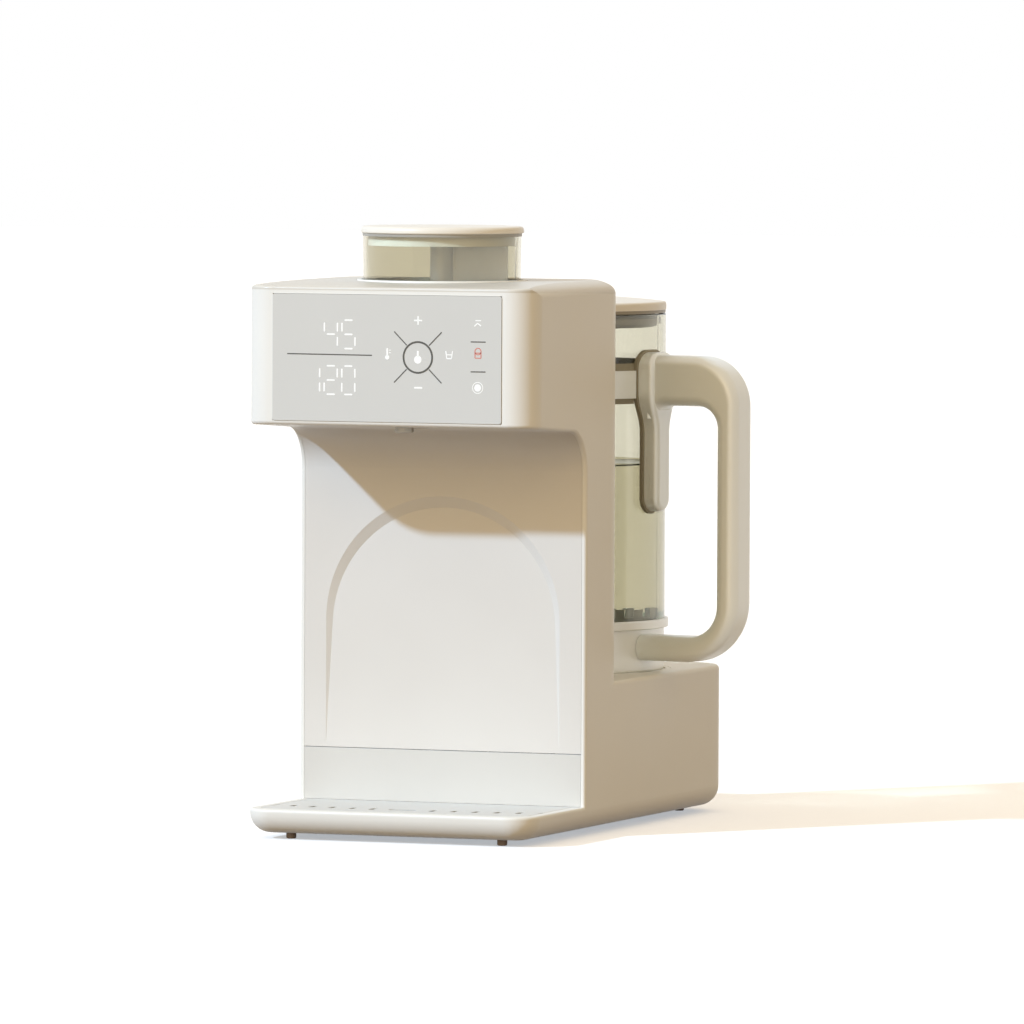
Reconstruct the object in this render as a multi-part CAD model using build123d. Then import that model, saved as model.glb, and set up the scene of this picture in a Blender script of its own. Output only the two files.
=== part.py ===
from build123d import *
import os
from math import acos, atan2, cos, pi, radians, sin, sqrt, tan

# A countertop baby formula maker. X runs across it, with +X to the right of a person facing it, Y runs
# from its front to its back and Z is up. The origin is the centre of the underside of the base, and
# the rubber feet reach below it. All sizes are in millimetres.

# Overall body
body_width = 164.0
body_depth = 311.0
head_depth = 145.0
column_depth = 63.0
deck_height = 13.0
platform_height = 77.6
head_bottom = 217.2
seam_height = 288.4
seam_fall = 3.4
head_top = 292.7
head_front_top = 290.2
brow_width = 16.0
brow_height = 7.0
wall = 2.5
cover_gap = 0.15
front_corner = 15.0
rear_corner = 25.0
base_edge = 11.0
deck_edge = 1.5
platform_edge = 2.5
shell_edge = 1.8
throat_radius = 22.0
underside_fall = 3.6
floor_thickness = 4.0

# Base plate, feet and screws
plate_thickness = 2.4
plate_border = 14.0
opening_border = 20.0
plate_corner = 8.0
vent_length = 34.0
vent_width = 3.0
vent_pitch = 8.0
vent_count = 6
foot_radius = 2.7
foot_height = 3.3
foot_pin_radius = 1.9
foot_pin_length = 2.0
foot_inset_x = 22.0
foot_inset_y = 16.5
screw_radius = 1.2
screw_head_radius = 2.7
screw_length = 10.0
post_radius = 3.0
post_height = 8.0

# Front panels
panel_seam = 41.0
panel_gap = 0.3
niche_radius = 67.0
niche_slope = 6.5
niche_depth = 3.2
niche_centre_height = 110.0

# Head: top cover, touch plate and board
cover_edge = 1.2
skirt_depth = 4.0
skirt_thickness = 1.5
touch_width = 129.6
touch_height = 67.0
touch_bottom = 219.4
touch_thickness = 2.0
touch_proud = 0.5
touch_corner = 1.2
board_thickness = 1.6
touch_window_border = 7.0

# Drip tray and grid
tray_margin = 6.0
tray_depth = 8.5
tray_wall = 1.5
tray_corner = 9.0
tray_rear_corner = 3.0
tray_gap = 0.3
grid_thickness = 1.5
slot_width = 3.0
slot_length = 9.0
slot_pitch = 11.8
slots_per_side = 6
oval_length = 16.0
oval_width = 5.0
outlet_setback = 25.5
slot_arc_radius = 400.0

# Powder canister and what turns in it
canister_setback = 79.5
canister_top_radius = 42.4
canister_bottom_radius = 41.8
canister_wall = 1.8
canister_floor_height = 276.0
canister_top = 316.1
well_inner_radius = 43.2
well_wall = 2.3
well_floor = 2.5
well_floor_height = 258.0
cover_hole_gap = 0.3
base_cup_radius = 40.5
dosing_radius = 35.7
dosing_gap = 0.3
pocket_radius = 6.5
pocket_circle = 26.0
pocket_count = 8
spindle_radius = 4.0
spindle_gap = 0.1
stirrer_radius = 36.8
stirrer_hub_radius = 6.5
paddle_thickness = 2.0
paddle_top = 313.3
paddle_window_length = 22.0
paddle_window_height = 13.0
dog_flats = 8.0
dog_gap = 0.15
lid_radius = 43.6
lid_thickness = 3.7
seal_height = 1.6
plug_depth = 5.0

# Drive train
gear_module = 1.0
drive_teeth = 30
pinion_teeth = 12
gear_width = 7.0
gear_backlash = 0.16
motor_radius = 12.0
motor_plate_thickness = 2.5
motor_plate_height = 243.0
stud_radius = 2.0

# Water path
nozzle_radius = 5.0
nozzle_drop = 2.7
chute_top_radius = 9.0
chute_bottom_radius = 7.5
chute_wall = 1.5
chute_outlet_step = 17.0
hose_radius = 3.5
hose_bore = 2.0
barb_radius = 1.95
inlet_x = -38.0
inlet_half = 15.2
inlet_low = 24.0
inlet_high = 48.0
inlet_depth = 22.0
pump_x = -30.0
pump_y = 30.0
pump_radius = 18.0
pump_motor_radius = 15.0
port_x = 40.0
port_y = 82.0
port_radius = 8.8
port_bore = 5.5
rod_radius = 1.5
solenoid_radius = 12.0
pump_port_height = 48.0
port_barb_height = 55.0
port_low = 47.0
hose_x = -33.0
hose_setback = 33.0
hose_height = 232.7

# Kettle
kettle_y = 71.0
glass_radius = 69.0
glass_wall = 2.5
glass_bottom = 102.0
glass_top = 272.0
cup_radius = 68.5
cup_wall = 2.5
cup_top = 100.6
ring_radius = 70.9
ring_height = 5.0
seat_radius = 72.2
seat_gap = 0.3
seat_recess = 1.0
seat_flange = 2.0
coupler_radius = 15.0
coupler_gap = 0.5
kettle_lid_radius = 69.0
kettle_lid_edge = 4.4
kettle_lid_crown = 3.6
lid_plug_radius = 63.0
lid_plug_depth = 9.4
band_bottom = 226.7
band_height = 15.0
band_thickness = 1.2
liner_thickness = 0.7
liner_above = 4.0
liner_below = 3.0
poppet_travel = 3.5

# Handle, a D in a plane through the kettle's axis
handle_angle = -10.0
handle_reach = 129.0
handle_bar = 13.0
handle_width = 21.0
handle_top = 250.0
handle_bottom = 84.0
upper_arm = 27.2
lower_arm = 14.0
outer_top_bend = 27.0
outer_bottom_bend = 33.0
inner_top_bend = 12.0
inner_bottom_bend = 17.0
root_width = 26.0
root_height = 34.5
root_outer_radius = 79.0
leg_width = 15.0
leg_bottom = 165.0
handle_edge = 5.5
pad_border = 1.3

# Places that follow from the sizes above
half_width = body_width / 2
front_y = -body_depth / 2
rear_y = body_depth / 2
head_rear = front_y + head_depth
canister_y = front_y + canister_setback
hose_y = head_rear - hose_setback
column_front = head_rear - column_depth
inner_half = half_width - wall
outlet_y = front_y + outlet_setback
powder_outlet_y = outlet_y + chute_outlet_step
seat_floor = platform_height - seat_recess
underside_angle = atan2(underside_fall, column_front - throat_radius - front_y)
throat_y = column_front - throat_radius
throat_z = head_bottom - underside_fall - throat_radius / cos(underside_angle)
flange_radius = nozzle_radius + 3
flange_front = outlet_y - flange_radius
nozzle_rest = head_bottom - (flange_front - front_y) * tan(underside_angle) + wall / cos(underside_angle)
canister_base_bottom = well_floor_height + well_floor
gear_low = motor_plate_height + motor_plate_thickness + 1.0
gear_high = gear_low + gear_width
pinion_y = canister_y + gear_module * (drive_teeth + pinion_teeth) / 2
handle_lug_radius = glass_radius + liner_thickness + band_thickness + 0.3


def plan(half, y_front, y_rear, r_front, r_rear):
    """Plan outline with its own corner radius at the front and at the back."""
    corners = [(-half, y_front), (half, y_front), (half, y_rear), (-half, y_rear)]
    face = make_face(Polyline(*corners, close=True))
    if r_front:
        face = fillet(face.vertices().sort_by(Axis.Y)[:2], r_front)
    if r_rear:
        face = fillet(face.vertices().sort_by(Axis.Y)[-2:], r_rear)
    return face


def block(half, y_front, y_rear, r_front, r_rear, z_low, z_high):
    return Pos(0, 0, z_low) * extrude(plan(half, y_front, y_rear, r_front, r_rear), amount=z_high - z_low)


def box(x_low, x_high, y_low, y_high, z_low, z_high):
    centre = Pos((x_low + x_high) / 2, (y_low + y_high) / 2, (z_low + z_high) / 2)
    return centre * Box(x_high - x_low, y_high - y_low, z_high - z_low)


def disc(radius, z_low, z_high, x=0.0, y=0.0):
    return Pos(x, y, (z_low + z_high) / 2) * Cylinder(radius, z_high - z_low)


def ring(outer, inner, z_low, z_high, x=0.0, y=0.0):
    return disc(outer, z_low, z_high, x, y) - disc(inner, z_low - 1, z_high + 1, x, y)


def turned(points, x=0.0, y=0.0):
    """Solid of revolution about the vertical line at x, y, from (radius, height) points."""
    return Pos(x, y, 0) * revolve(Plane.XZ * make_face(Polyline(*points, close=True)), axis=Axis.Z)


def rod_y(radius, x, z, y_low, y_high):
    return Pos(x, (y_low + y_high) / 2, z) * Rot(90, 0, 0) * Cylinder(radius, y_high - y_low)


def rod_x(radius, y, z, x_low, x_high):
    return Pos((x_low + x_high) / 2, y, z) * Rot(0, 90, 0) * Cylinder(radius, x_high - x_low)


def edges_at(solid, axis, place, tolerance=0.01):
    """Edges that lie wholly in the plane across the axis at that place."""
    return solid.edges().filter_by_position(axis, place - tolerance, place + tolerance)


def screw_places():
    x = half_width - (plate_border + opening_border) / 2
    return [(side * x, y) for y in (column_front + 24, 38.0, rear_y - 30) for side in (-1, 1)]


def foot_places():
    front_row = front_y + foot_inset_y
    rear_row = rear_y - foot_inset_y - plate_border / 2
    return [(side * (half_width - foot_inset_x), y) for y in (front_row, rear_row) for side in (-1, 1)]


def board_posts():
    return [(x, z) for x in (-2.0, 66.0) for z in (101.0, 189.0)]


# ------------------------------------------------------------------ housing and covers

def head_form(inset=0.0):
    """Solid outline of head and column. The top rises from its front edge to a flat crown. A brow, a
    quarter of a long ellipse, is swept along both sides and round the back."""
    half = half_width - inset
    front = front_y + inset
    rear = head_rear - inset
    corner = rear_corner - inset
    high = head_top - inset
    level = head_top - brow_height
    wide = brow_width - inset
    tall = brow_height + 0.4 - inset
    side = make_face(Spline((front, head_front_top - inset), (canister_y, high - 0.2), (rear - brow_width, high),
                            tangents=[(1, 0.08), (1, 0)])
                     + Polyline((rear - brow_width, high), (rear, high), (rear, base_edge), (front, base_edge),
                                (front, head_front_top - inset)))
    form = extrude(Plane.YZ * side, amount=body_width, both=True)
    form &= block(half, front, rear, front_corner - inset, corner, base_edge, high + 1)

    path = Line((-half, front - 1), (-half, rear - corner))
    path += CenterArc((-half + corner, rear - corner), corner, 180, -90)
    path += Line((-half + corner, rear), (half - corner, rear))
    path += CenterArc((half - corner, rear - corner), corner, 90, -90)
    path += Line((half, rear - corner), (half, front - 1))
    section = make_face(EllipticalCenterArc((-half + wide, level), wide, tall, 90, arc_size=90)
                        + Polyline((-half, level), (-half - 2, level), (-half - 2, level + tall + 2),
                                   (-half + wide, level + tall + 2), (-half + wide, level + tall)))
    return form - sweep(Pos(0, front - 1, 0) * (Plane.XZ * section), path=Pos(0, 0, level) * path)


def seam_plane(drop=0.0):
    """Tilted joint between the housing and the head cover, lower at the back."""
    normal = (0, sin(atan2(seam_fall, head_depth)), cos(atan2(seam_fall, head_depth)))
    return Plane(origin=(0, front_y, seam_height - drop), z_dir=normal)


def underside(y):
    return head_bottom - (y - front_y) * tan(underside_angle)


def throat_side(offset):
    """Underside of the head and throat above the bay, from front to column, as one line. The offset
    moves it into the wall."""
    radius = throat_radius + offset
    start = (throat_y + radius * sin(underside_angle), throat_z + radius * cos(underside_angle))
    turn = (pi / 2 - underside_angle) / 2
    middle = (throat_y + radius * cos(turn), throat_z + radius * sin(turn))
    front = (front_y - 1, underside(front_y - 1) + offset / cos(underside_angle))
    return Line(front, start) + ThreePointArc(start, middle, (throat_y + radius, throat_z))


def main_housing():
    """One moulded shell: low tray deck, high rear platform, column and overhanging head."""
    deck = block(half_width, front_y, rear_y, front_corner, rear_corner, 0, deck_height)
    deck = fillet(edges_at(deck, Axis.Z, deck_height), deck_edge)
    platform = block(half_width, column_front + wall * 2, rear_y, 0, rear_corner, 0, platform_height)
    platform = fillet(edges_at(platform, Axis.Z, platform_height), platform_edge)
    base = fillet(edges_at(deck + platform, Axis.Z, 0), base_edge)

    upper = split(head_form(), bisect_by=seam_plane(), keep=Keep.BOTTOM)
    bay = make_face(throat_side(0) + Polyline((column_front, throat_z), (column_front, base_edge - 1),
                                              (front_y - 1, base_edge - 1), (front_y - 1, underside(front_y - 1))))
    upper -= extrude(Plane.YZ * bay, amount=body_width, both=True)
    lip = [edge for edge in upper.edges() if edge.bounding_box().max.Z < head_bottom + 0.1
           and edge.bounding_box().min.Z > throat_z - 0.01 and edge.bounding_box().max.Y < column_front + 0.01]
    lip = [edge for edge in lip if edge.center().Y < front_y + 0.1 or edge.bounding_box().size.X < front_corner + 1]
    upper = fillet(lip, shell_edge)
    shell = base + upper

    shell -= block(inner_half, front_y + wall, head_rear - wall, front_corner - wall, rear_corner - wall,
                   head_bottom - 1.5, seam_height + 1)
    shell -= block(inner_half, column_front - 1, head_rear - wall, 0, rear_corner - wall,
                   deck_height, seam_height + 1)
    shell -= box(-inner_half, inner_half, front_y + front_corner, column_front, throat_z - 1, head_bottom)
    hollow = block(inner_half, column_front + wall, rear_y - wall, 0, rear_corner - wall,
                   floor_thickness, platform_height - wall)
    hollow = fillet(edges_at(hollow, Axis.Z, floor_thickness), base_edge - wall + 0.5)
    shell -= hollow

    shell -= tray_pocket()
    shell += disc(seat_radius + 4, platform_height - 5, platform_height - wall + 0.1, y=kettle_y)
    shell -= disc(seat_radius + cover_gap, platform_height - seat_flange, platform_height + 1, y=kettle_y)
    shell -= disc(seat_radius - 12, platform_height - 9, platform_height, y=kettle_y)

    border = touch_window_border
    touch_half = touch_width / 2
    touch_top = touch_bottom + touch_height
    shell -= box(-touch_half - cover_gap, touch_half + cover_gap, front_y - 1,
                 front_y + touch_thickness - touch_proud, touch_bottom - cover_gap, touch_top + cover_gap)
    shell -= box(-touch_half + border, touch_half - border, front_y - 1, front_y + wall + 1,
                 touch_bottom + border, touch_top - border)

    plate_front = column_front + wall + 2
    plate_rear = rear_y - plate_border
    shell -= block(half_width - plate_border, plate_front, plate_rear, plate_corner, plate_corner,
                   -1, plate_thickness + 0.1)
    shell -= block(half_width - opening_border, plate_front + 6, plate_rear - 6,
                   plate_corner, plate_corner, -1, floor_thickness + 1)
    for x, y in screw_places():
        shell += disc(post_radius, plate_thickness + 0.1, floor_thickness + post_height, x, y)
        shell -= disc(screw_radius + 0.05, 0, screw_length + 1, x, y)
    for x, y in foot_places()[:2]:
        shell -= disc(foot_pin_radius + 0.05, -1, foot_pin_length + 0.1, x, y)
    for x, z in board_posts():
        shell += rod_y(3.5, x, z, head_rear - 24, head_rear - wall + 0.1)
    shell -= box(inlet_x - inlet_half, inlet_x + inlet_half, rear_y - wall - 1, rear_y + 1,
                 inlet_low, inlet_high)
    return shell


def tray_pocket():
    pocket = block(half_width - tray_margin, front_y + tray_margin, column_front - 0.5,
                   tray_corner, tray_rear_corner, deck_height - grid_thickness - tray_depth, deck_height + 1)
    return fillet(edges_at(pocket, Axis.Z, deck_height - grid_thickness - tray_depth), 2.5)


def base_plate():
    """Bottom cover with cooling slots, let into the underside and held by six screws."""
    gap = cover_gap
    plate = block(half_width - plate_border - gap, column_front + wall + 2 + gap, rear_y - plate_border - gap,
                  plate_corner, plate_corner, 0, plate_thickness)
    for row in (-1, 1):
        for i in range(vent_count):
            x = (i - (vent_count - 1) / 2) * vent_pitch
            slot = SlotOverall(vent_length, vent_width, rotation=90)
            plate -= Pos(x, 45 + row * 32, -1) * extrude(slot, amount=plate_thickness + 2)
    for x, y in screw_places():
        plate -= disc(screw_radius + 0.2, -1, plate_thickness + 1, x, y)
        plate -= disc(screw_head_radius + 0.2, -1, plate_thickness / 2, x, y)
    for x, y in foot_places()[2:]:
        plate -= disc(foot_pin_radius + 0.05, -1, plate_thickness + 1, x, y)
    return plate


def rubber_feet():
    feet = []
    for x, y in foot_places():
        foot = disc(foot_radius, -foot_height, 0, x, y)
        foot = fillet(edges_at(foot, Axis.Z, -foot_height), 0.8)
        feet.append(foot + disc(foot_pin_radius, -0.5, foot_pin_length, x, y))
    return feet


def base_screws():
    screws = []
    for x, y in screw_places():
        head = disc(screw_head_radius, 0.1, plate_thickness / 2, x, y)
        screws.append(head + disc(screw_radius, plate_thickness / 2 - 0.1, screw_length, x, y))
    return screws


def arch_face(radius, y):
    """Upright arch outline in the plane at y: a half circle on straight legs."""
    foot = panel_seam + 3.0
    legs = [(-radius, niche_centre_height), (-radius, foot), (radius, foot), (radius, niche_centre_height)]
    outline = Polyline(*legs) + ThreePointArc(legs[-1], (0, niche_centre_height + radius), legs[0])
    return Pos(0, y, 0) * (Plane.XZ * make_face(outline))


def splash_panel():
    """Front of the column and underside of the head in one sheet that turns the throat. A shallow
    arched niche gives the bottle room, and its floor runs out to nothing towards the bottom."""
    inner_front = front_y + wall + cover_gap
    low = panel_seam + panel_gap
    outline = throat_side(0) + throat_side(wall)
    outline += Polyline((column_front, throat_z), (column_front, low), (column_front + wall, low),
                        (column_front + wall, throat_z))
    outline += Line(throat_side(0) @ 0, throat_side(wall) @ 0)
    sheet = extrude(Plane.YZ * make_face(outline), amount=half_width, both=True)
    sheet &= block(inner_half - cover_gap, inner_front, column_front + wall + 1,
                   front_corner - wall - cover_gap, 0, 0, seam_height)

    pad = extrude(arch_face(niche_radius + 2, column_front + niche_depth + wall), amount=niche_depth + 1)
    tilt = make_face(Polyline((column_front - 1, panel_seam), (column_front, panel_seam),
                              (column_front + niche_depth, niche_centre_height + niche_radius + 1),
                              (column_front - 1, niche_centre_height + niche_radius + 1), close=True))
    niche = loft([arch_face(niche_radius, column_front - 0.01),
                  arch_face(niche_radius - niche_slope, column_front + niche_depth + 0.01)])
    sheet = sheet + pad - (niche & extrude(Plane.YZ * tilt, amount=half_width, both=True))
    sheet += disc(flange_radius + 0.8, underside(outlet_y) + 1, nozzle_rest, y=outlet_y)
    for radius, y in ((nozzle_radius, outlet_y), (chute_bottom_radius, powder_outlet_y)):
        sheet -= disc(radius + cover_gap, underside(y) - 2, underside(y) + wall + 2, y=y)
    return sheet


def lower_front_panel():
    """Removable strip between the tray deck and the splash panel, with two clips behind."""
    half = inner_half - cover_gap
    panel = box(-half, half, column_front, column_front + wall, deck_height + cover_gap, panel_seam)
    panel = chamfer(edges_at(panel, Axis.Z, panel_seam).filter_by_position(
        Axis.Y, column_front - 0.01, column_front + 0.01), 0.4)
    for side in (-1, 1):
        x = side * half * 0.7
        panel += box(x - 5, x + 5, column_front + wall, column_front + wall + 2, 24, panel_seam + 2.6)
    return panel


def head_top_cover():
    """Cover of the head with its brow, closed on the tilted seam, with a round hole for the canister
    well. A skirt inside centres it in the housing."""
    cover = split(head_form(), bisect_by=seam_plane(), keep=Keep.TOP)
    front = [edge for edge in cover.edges() if edge.center().Y < front_y + 0.1
             and edge.bounding_box().min.Z > seam_height + 0.5 and edge.length > front_corner * 2]
    cover = fillet(front, cover_edge)
    cover -= head_form(wall)
    gap = wall + cover_gap
    core = gap + skirt_thickness
    low = seam_height - seam_fall - skirt_depth
    skirt = block(half_width - gap, front_y + gap, head_rear - gap, front_corner - gap, rear_corner - gap,
                  low, head_top)
    skirt -= block(half_width - core, front_y + core, head_rear - core, front_corner - core,
                   rear_corner - core, low - 1, head_top + 1)
    skirt -= box(-half_width, half_width, front_y, front_y + 8, low - 1, head_top)
    cover += skirt & head_form(0.8)
    hole = well_inner_radius + well_wall + cover_hole_gap
    return cover - disc(hole, low - 1, head_top + 1, y=canister_y)


def touch_plate():
    width = touch_width
    outline = RectangleRounded(width, touch_height, touch_corner)
    centre = touch_bottom + touch_height / 2
    return Pos(0, front_y - touch_proud, centre) * (Rot(90, 0, 0) * extrude(outline, amount=-touch_thickness))


def touch_board():
    """Sensor and display board behind the front wall, with its digit block and key pads."""
    y = front_y + wall + 0.1
    half = touch_width / 2 - 4
    low = touch_bottom + 3
    high = touch_bottom + touch_height - 6
    board = box(-half, half, y, y + board_thickness, low, high)
    reach = touch_thickness - touch_proud - wall
    for z in (228.5, 248.5):
        board += box(-42, -10, y + reach, y + 0.1, z, z + 15)
    for x, z in ((18, 253.5), (18, 271), (18, 235.5), (2, 253.5), (35, 253.5), (51, 253.5)):
        board += rod_y(3.0, x, z, y + reach, y + 0.1)
    board += box(-12, 12, y + board_thickness - 0.1, y + board_thickness + 3, low + 3, low + 9)
    board += box(30, 42, y + board_thickness - 0.1, y + board_thickness + 1.4, low + 12, low + 24)
    return board


# ------------------------------------------------------------------ drip tray

def drip_tray():
    low = deck_height - grid_thickness - tray_depth
    high = deck_height - grid_thickness
    margin = tray_margin + tray_gap
    tray = block(half_width - margin, front_y + margin, column_front - 0.5 - tray_gap,
                 tray_corner - tray_gap, tray_rear_corner - tray_gap, low, high)
    tray = fillet(edges_at(tray, Axis.Z, low), 2.2)
    inset = margin + tray_wall
    return tray - block(half_width - inset, front_y + inset, column_front - 0.5 - tray_gap - tray_wall,
                        tray_corner - tray_gap - tray_wall, 1.0, low + tray_wall, high + 1)


def slot_places():
    """Two wings of slots on a wide arc that sags towards the front between its ends."""
    places = []
    for side in (-1, 1):
        for i in range(slots_per_side):
            x = side * (slot_pitch * 1.45 + i * slot_pitch)
            places.append((x, outlet_y + x * x / (2 * slot_arc_radius)))
    return places


def drip_grid():
    margin = tray_margin + tray_gap
    low = deck_height - grid_thickness
    grid = block(half_width - margin, front_y + margin, column_front - 0.5 - tray_gap,
                 tray_corner - tray_gap, tray_rear_corner - tray_gap, low, deck_height)
    grid = chamfer(edges_at(grid, Axis.Z, deck_height), 0.4)
    for x, y in slot_places():
        slot = SlotOverall(slot_length, slot_width, rotation=90)
        grid -= Pos(x, y, low - 1) * extrude(slot, amount=grid_thickness + 2)
    oval = Pos(0, outlet_y, low - 1) * extrude(SlotOverall(oval_length, oval_width), amount=grid_thickness + 2)
    return grid - oval


# ------------------------------------------------------------------ powder dosing

def canister_well():
    """Fixed well in the head that takes the canister: the powder outlet and the drive dog come
    through its floor."""
    outer = well_inner_radius + well_wall
    top = head_top + 0.3
    well = disc(outer, well_floor_height, top, y=canister_y)
    well = fillet(edges_at(well, Axis.Z, top), 0.8)
    well -= disc(well_inner_radius, canister_base_bottom, top + 1, y=canister_y)
    well -= disc(stud_radius + 5.5, well_floor_height - 1, canister_base_bottom + 1, y=canister_y)
    return well - disc(pocket_radius, well_floor_height - 1, canister_base_bottom + 1,
                       y=canister_y - pocket_circle)


def canister_base():
    """Dosing housing under the canister: a cup that the dosing wheel turns in."""
    inner = dosing_radius + dosing_gap
    cup = ring(base_cup_radius, inner, canister_base_bottom, canister_floor_height, y=canister_y)
    cup += ring(inner + 0.5, 6.6, canister_base_bottom, canister_base_bottom + 2.5, y=canister_y)
    return cup - disc(pocket_radius, canister_base_bottom - 1, canister_base_bottom + 3,
                      y=canister_y - pocket_circle)


def powder_canister():
    """Clear drum, a little wider at the top, with a feed slot in the back of its floor."""
    floor_top = canister_floor_height + 2.0
    drum = turned([(0, canister_floor_height), (canister_bottom_radius, canister_floor_height),
                   (canister_top_radius, canister_top), (canister_top_radius - canister_wall, canister_top),
                   (canister_bottom_radius - canister_wall, floor_top), (0, floor_top)], y=canister_y)
    drum -= disc(spindle_radius + dosing_gap, canister_floor_height - 1, floor_top + 1, y=canister_y)
    feed = Pos(0, canister_y, canister_floor_height - 1) * extrude(
        SlotArc(CenterArc((0, 0), pocket_circle, 60, 60), 2 * pocket_radius), amount=4)
    return drum - feed


def dosing_wheel():
    """Wheel with eight measuring pockets on a spindle. The drive dog enters the hex in its foot."""
    low = canister_base_bottom + 2.5 + dosing_gap
    high = canister_floor_height - dosing_gap
    wheel = disc(dosing_radius, low, high, y=canister_y)
    for i in range(pocket_count):
        angle = radians((i + 0.5) * 360 / pocket_count)
        wheel -= disc(pocket_radius, low - 1, high + 1,
                      pocket_circle * cos(angle), canister_y + pocket_circle * sin(angle))
    socket = RegularPolygon((dog_flats / 2 + dog_gap) / cos(pi / 6), 6)
    wheel -= Pos(0, canister_y, low - 1) * extrude(socket, amount=9)
    return wheel + disc(spindle_radius, high - 0.5, paddle_top - 3, y=canister_y)


def powder_stirrer():
    """Hub with one full-height paddle, its face lightened by a rounded window, and two low arms."""
    low = canister_floor_height + 2.6
    paddle = box(stirrer_hub_radius - 1, stirrer_radius, -paddle_thickness / 2, paddle_thickness / 2,
                 low, paddle_top)
    paddle = fillet(paddle.edges().filter_by(Axis.Y).group_by(Axis.X)[-1], 3.0)
    window = RectangleRounded(paddle_window_length, paddle_window_height, 3.0)
    window = Pos(stirrer_hub_radius + 1 + paddle_window_length / 2, 0, paddle_top - 3 - paddle_window_height / 2
                 ) * (Rot(90, 0, 0) * extrude(window, amount=5, both=True))
    paddle -= window - box(0, 60, -0.5, 0.5, low, paddle_top)
    blades = paddle
    for angle in (120, 240):
        arm = box(stirrer_hub_radius - 1, stirrer_radius, -1.5, 1.5, low, low + 5)
        blades += Rot(0, 0, angle) * fillet(arm.edges().filter_by(Axis.X).group_by(Axis.Z)[-1], 1.2)
    stirrer = blades + ring(stirrer_hub_radius, spindle_radius + spindle_gap, low, paddle_top)
    stirrer += disc(stirrer_hub_radius, paddle_top - 2.5, paddle_top)
    return Pos(0, canister_y, 0) * (stirrer - disc(spindle_radius + spindle_gap, low - 1, paddle_top - 2.5))


def canister_lid():
    """Cream disc with a soft edge and a slight dome. A ring below it plugs the canister."""
    low = canister_top + seal_height
    high = low + lid_thickness
    lid = disc(lid_radius, low, high, y=canister_y)
    lid = fillet(edges_at(lid, Axis.Z, high), 2.2)
    lid = fillet(edges_at(lid, Axis.Z, low), 0.8)
    plug = canister_top_radius - canister_wall - 1.0
    return lid + ring(plug, plug - 2.2, canister_top - plug_depth, low + 0.5, y=canister_y)


def lid_seal():
    plug = canister_top_radius - canister_wall - 1.0
    return ring(canister_top_radius + 0.2, plug + 0.2, canister_top, canister_top + seal_height, y=canister_y)


def gear_outline(teeth):
    """Involute spur gear outline, each flank drawn through four points of the involute."""
    pitch = gear_module * teeth / 2
    base = pitch * cos(radians(20))
    tip = pitch + gear_module * 0.95
    root = pitch - gear_module * 1.25
    inv_pitch = tan(radians(20)) - radians(20)
    half = (pi * gear_module / 2 - gear_backlash) / 2 / pitch
    start = max(base, root + 0.05)
    flank = []
    for i in range(4):
        radius = start + (tip - start) * i / 3
        pressure = acos(base / radius)
        flank.append((radius, half + inv_pitch - (tan(pressure) - pressure)))
    points = []
    for tooth in range(teeth):
        centre = 2 * pi * tooth / teeth
        side = [(root, -flank[0][1])] + [(r, -a) for r, a in flank]
        side += [(r, a) for r, a in reversed(flank)] + [(root, flank[0][1])]
        points += [(r * cos(centre + a), r * sin(centre + a)) for r, a in side]
    return make_face(Polyline(*points, close=True))


def drive_gear():
    """Large gear on a fixed stud. Its hex dog comes up through the well into the dosing wheel."""
    hub_top = well_floor_height - 0.5
    gear = Pos(0, canister_y, gear_low) * extrude(gear_outline(drive_teeth), amount=gear_width)
    gear += disc(6.0, gear_high - 0.5, hub_top, y=canister_y)
    dog = extrude(RegularPolygon(dog_flats / 2 / cos(pi / 6), 6), amount=canister_base_bottom + 9 - hub_top)
    gear += Pos(0, canister_y, hub_top - 0.5) * dog
    return gear - disc(stud_radius + 0.05, gear_low - 1, gear_high + 1, y=canister_y)


def motor_pinion():
    """Pinion and motor shaft in one, turned so that the teeth stand in the gaps of the large gear."""
    turn = (drive_teeth / 4 % 1 + 0.5) * 360 / pinion_teeth - 90
    gear = Rot(0, 0, turn) * extrude(gear_outline(pinion_teeth), amount=gear_width)
    gear = Pos(0, pinion_y, gear_low) * gear
    return gear + disc(stud_radius, motor_plate_height - 6, gear_high + 0.5, y=pinion_y)


def motor_plate():
    """Plate below the well that carries the stud of the drive gear and the motor. Four posts
    hold it off the floor of the well."""
    low = motor_plate_height
    high = low + motor_plate_thickness
    plate = Pos(0, canister_y + 12, low) * extrude(RectangleRounded(74, 54, 8), amount=motor_plate_thickness)
    plate -= disc(stud_radius + 2.5, low - 1, high + 1, y=pinion_y)
    plate += disc(stud_radius, low + 0.5, gear_high - 0.5, y=canister_y)
    plate += disc(stud_radius + 2.2, high - 0.5, gear_low - 0.2, y=canister_y)
    for x in (-30, 30):
        for y in (canister_y - 8, canister_y + 26):
            plate += disc(3.2, high - 0.5, well_floor_height, x, y)
    return plate


def gear_motor():
    """Geared motor under the plate: round can, gearbox flange and shaft with the terminals below."""
    high = motor_plate_height
    motor = disc(motor_radius, high - 20, high, y=pinion_y)
    motor = fillet(edges_at(motor, Axis.Z, high - 20), 1.5)
    motor += box(-16, 16, pinion_y - 5, pinion_y + 5, high - 3, high)
    motor -= disc(stud_radius + 0.05, high - 6.2, high + 1, y=pinion_y)
    for x in (-5, 5):
        motor += box(x - 0.5, x + 0.5, pinion_y - 1.5, pinion_y + 1.5, high - 22.5, high - 19.5)
    return motor


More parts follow.
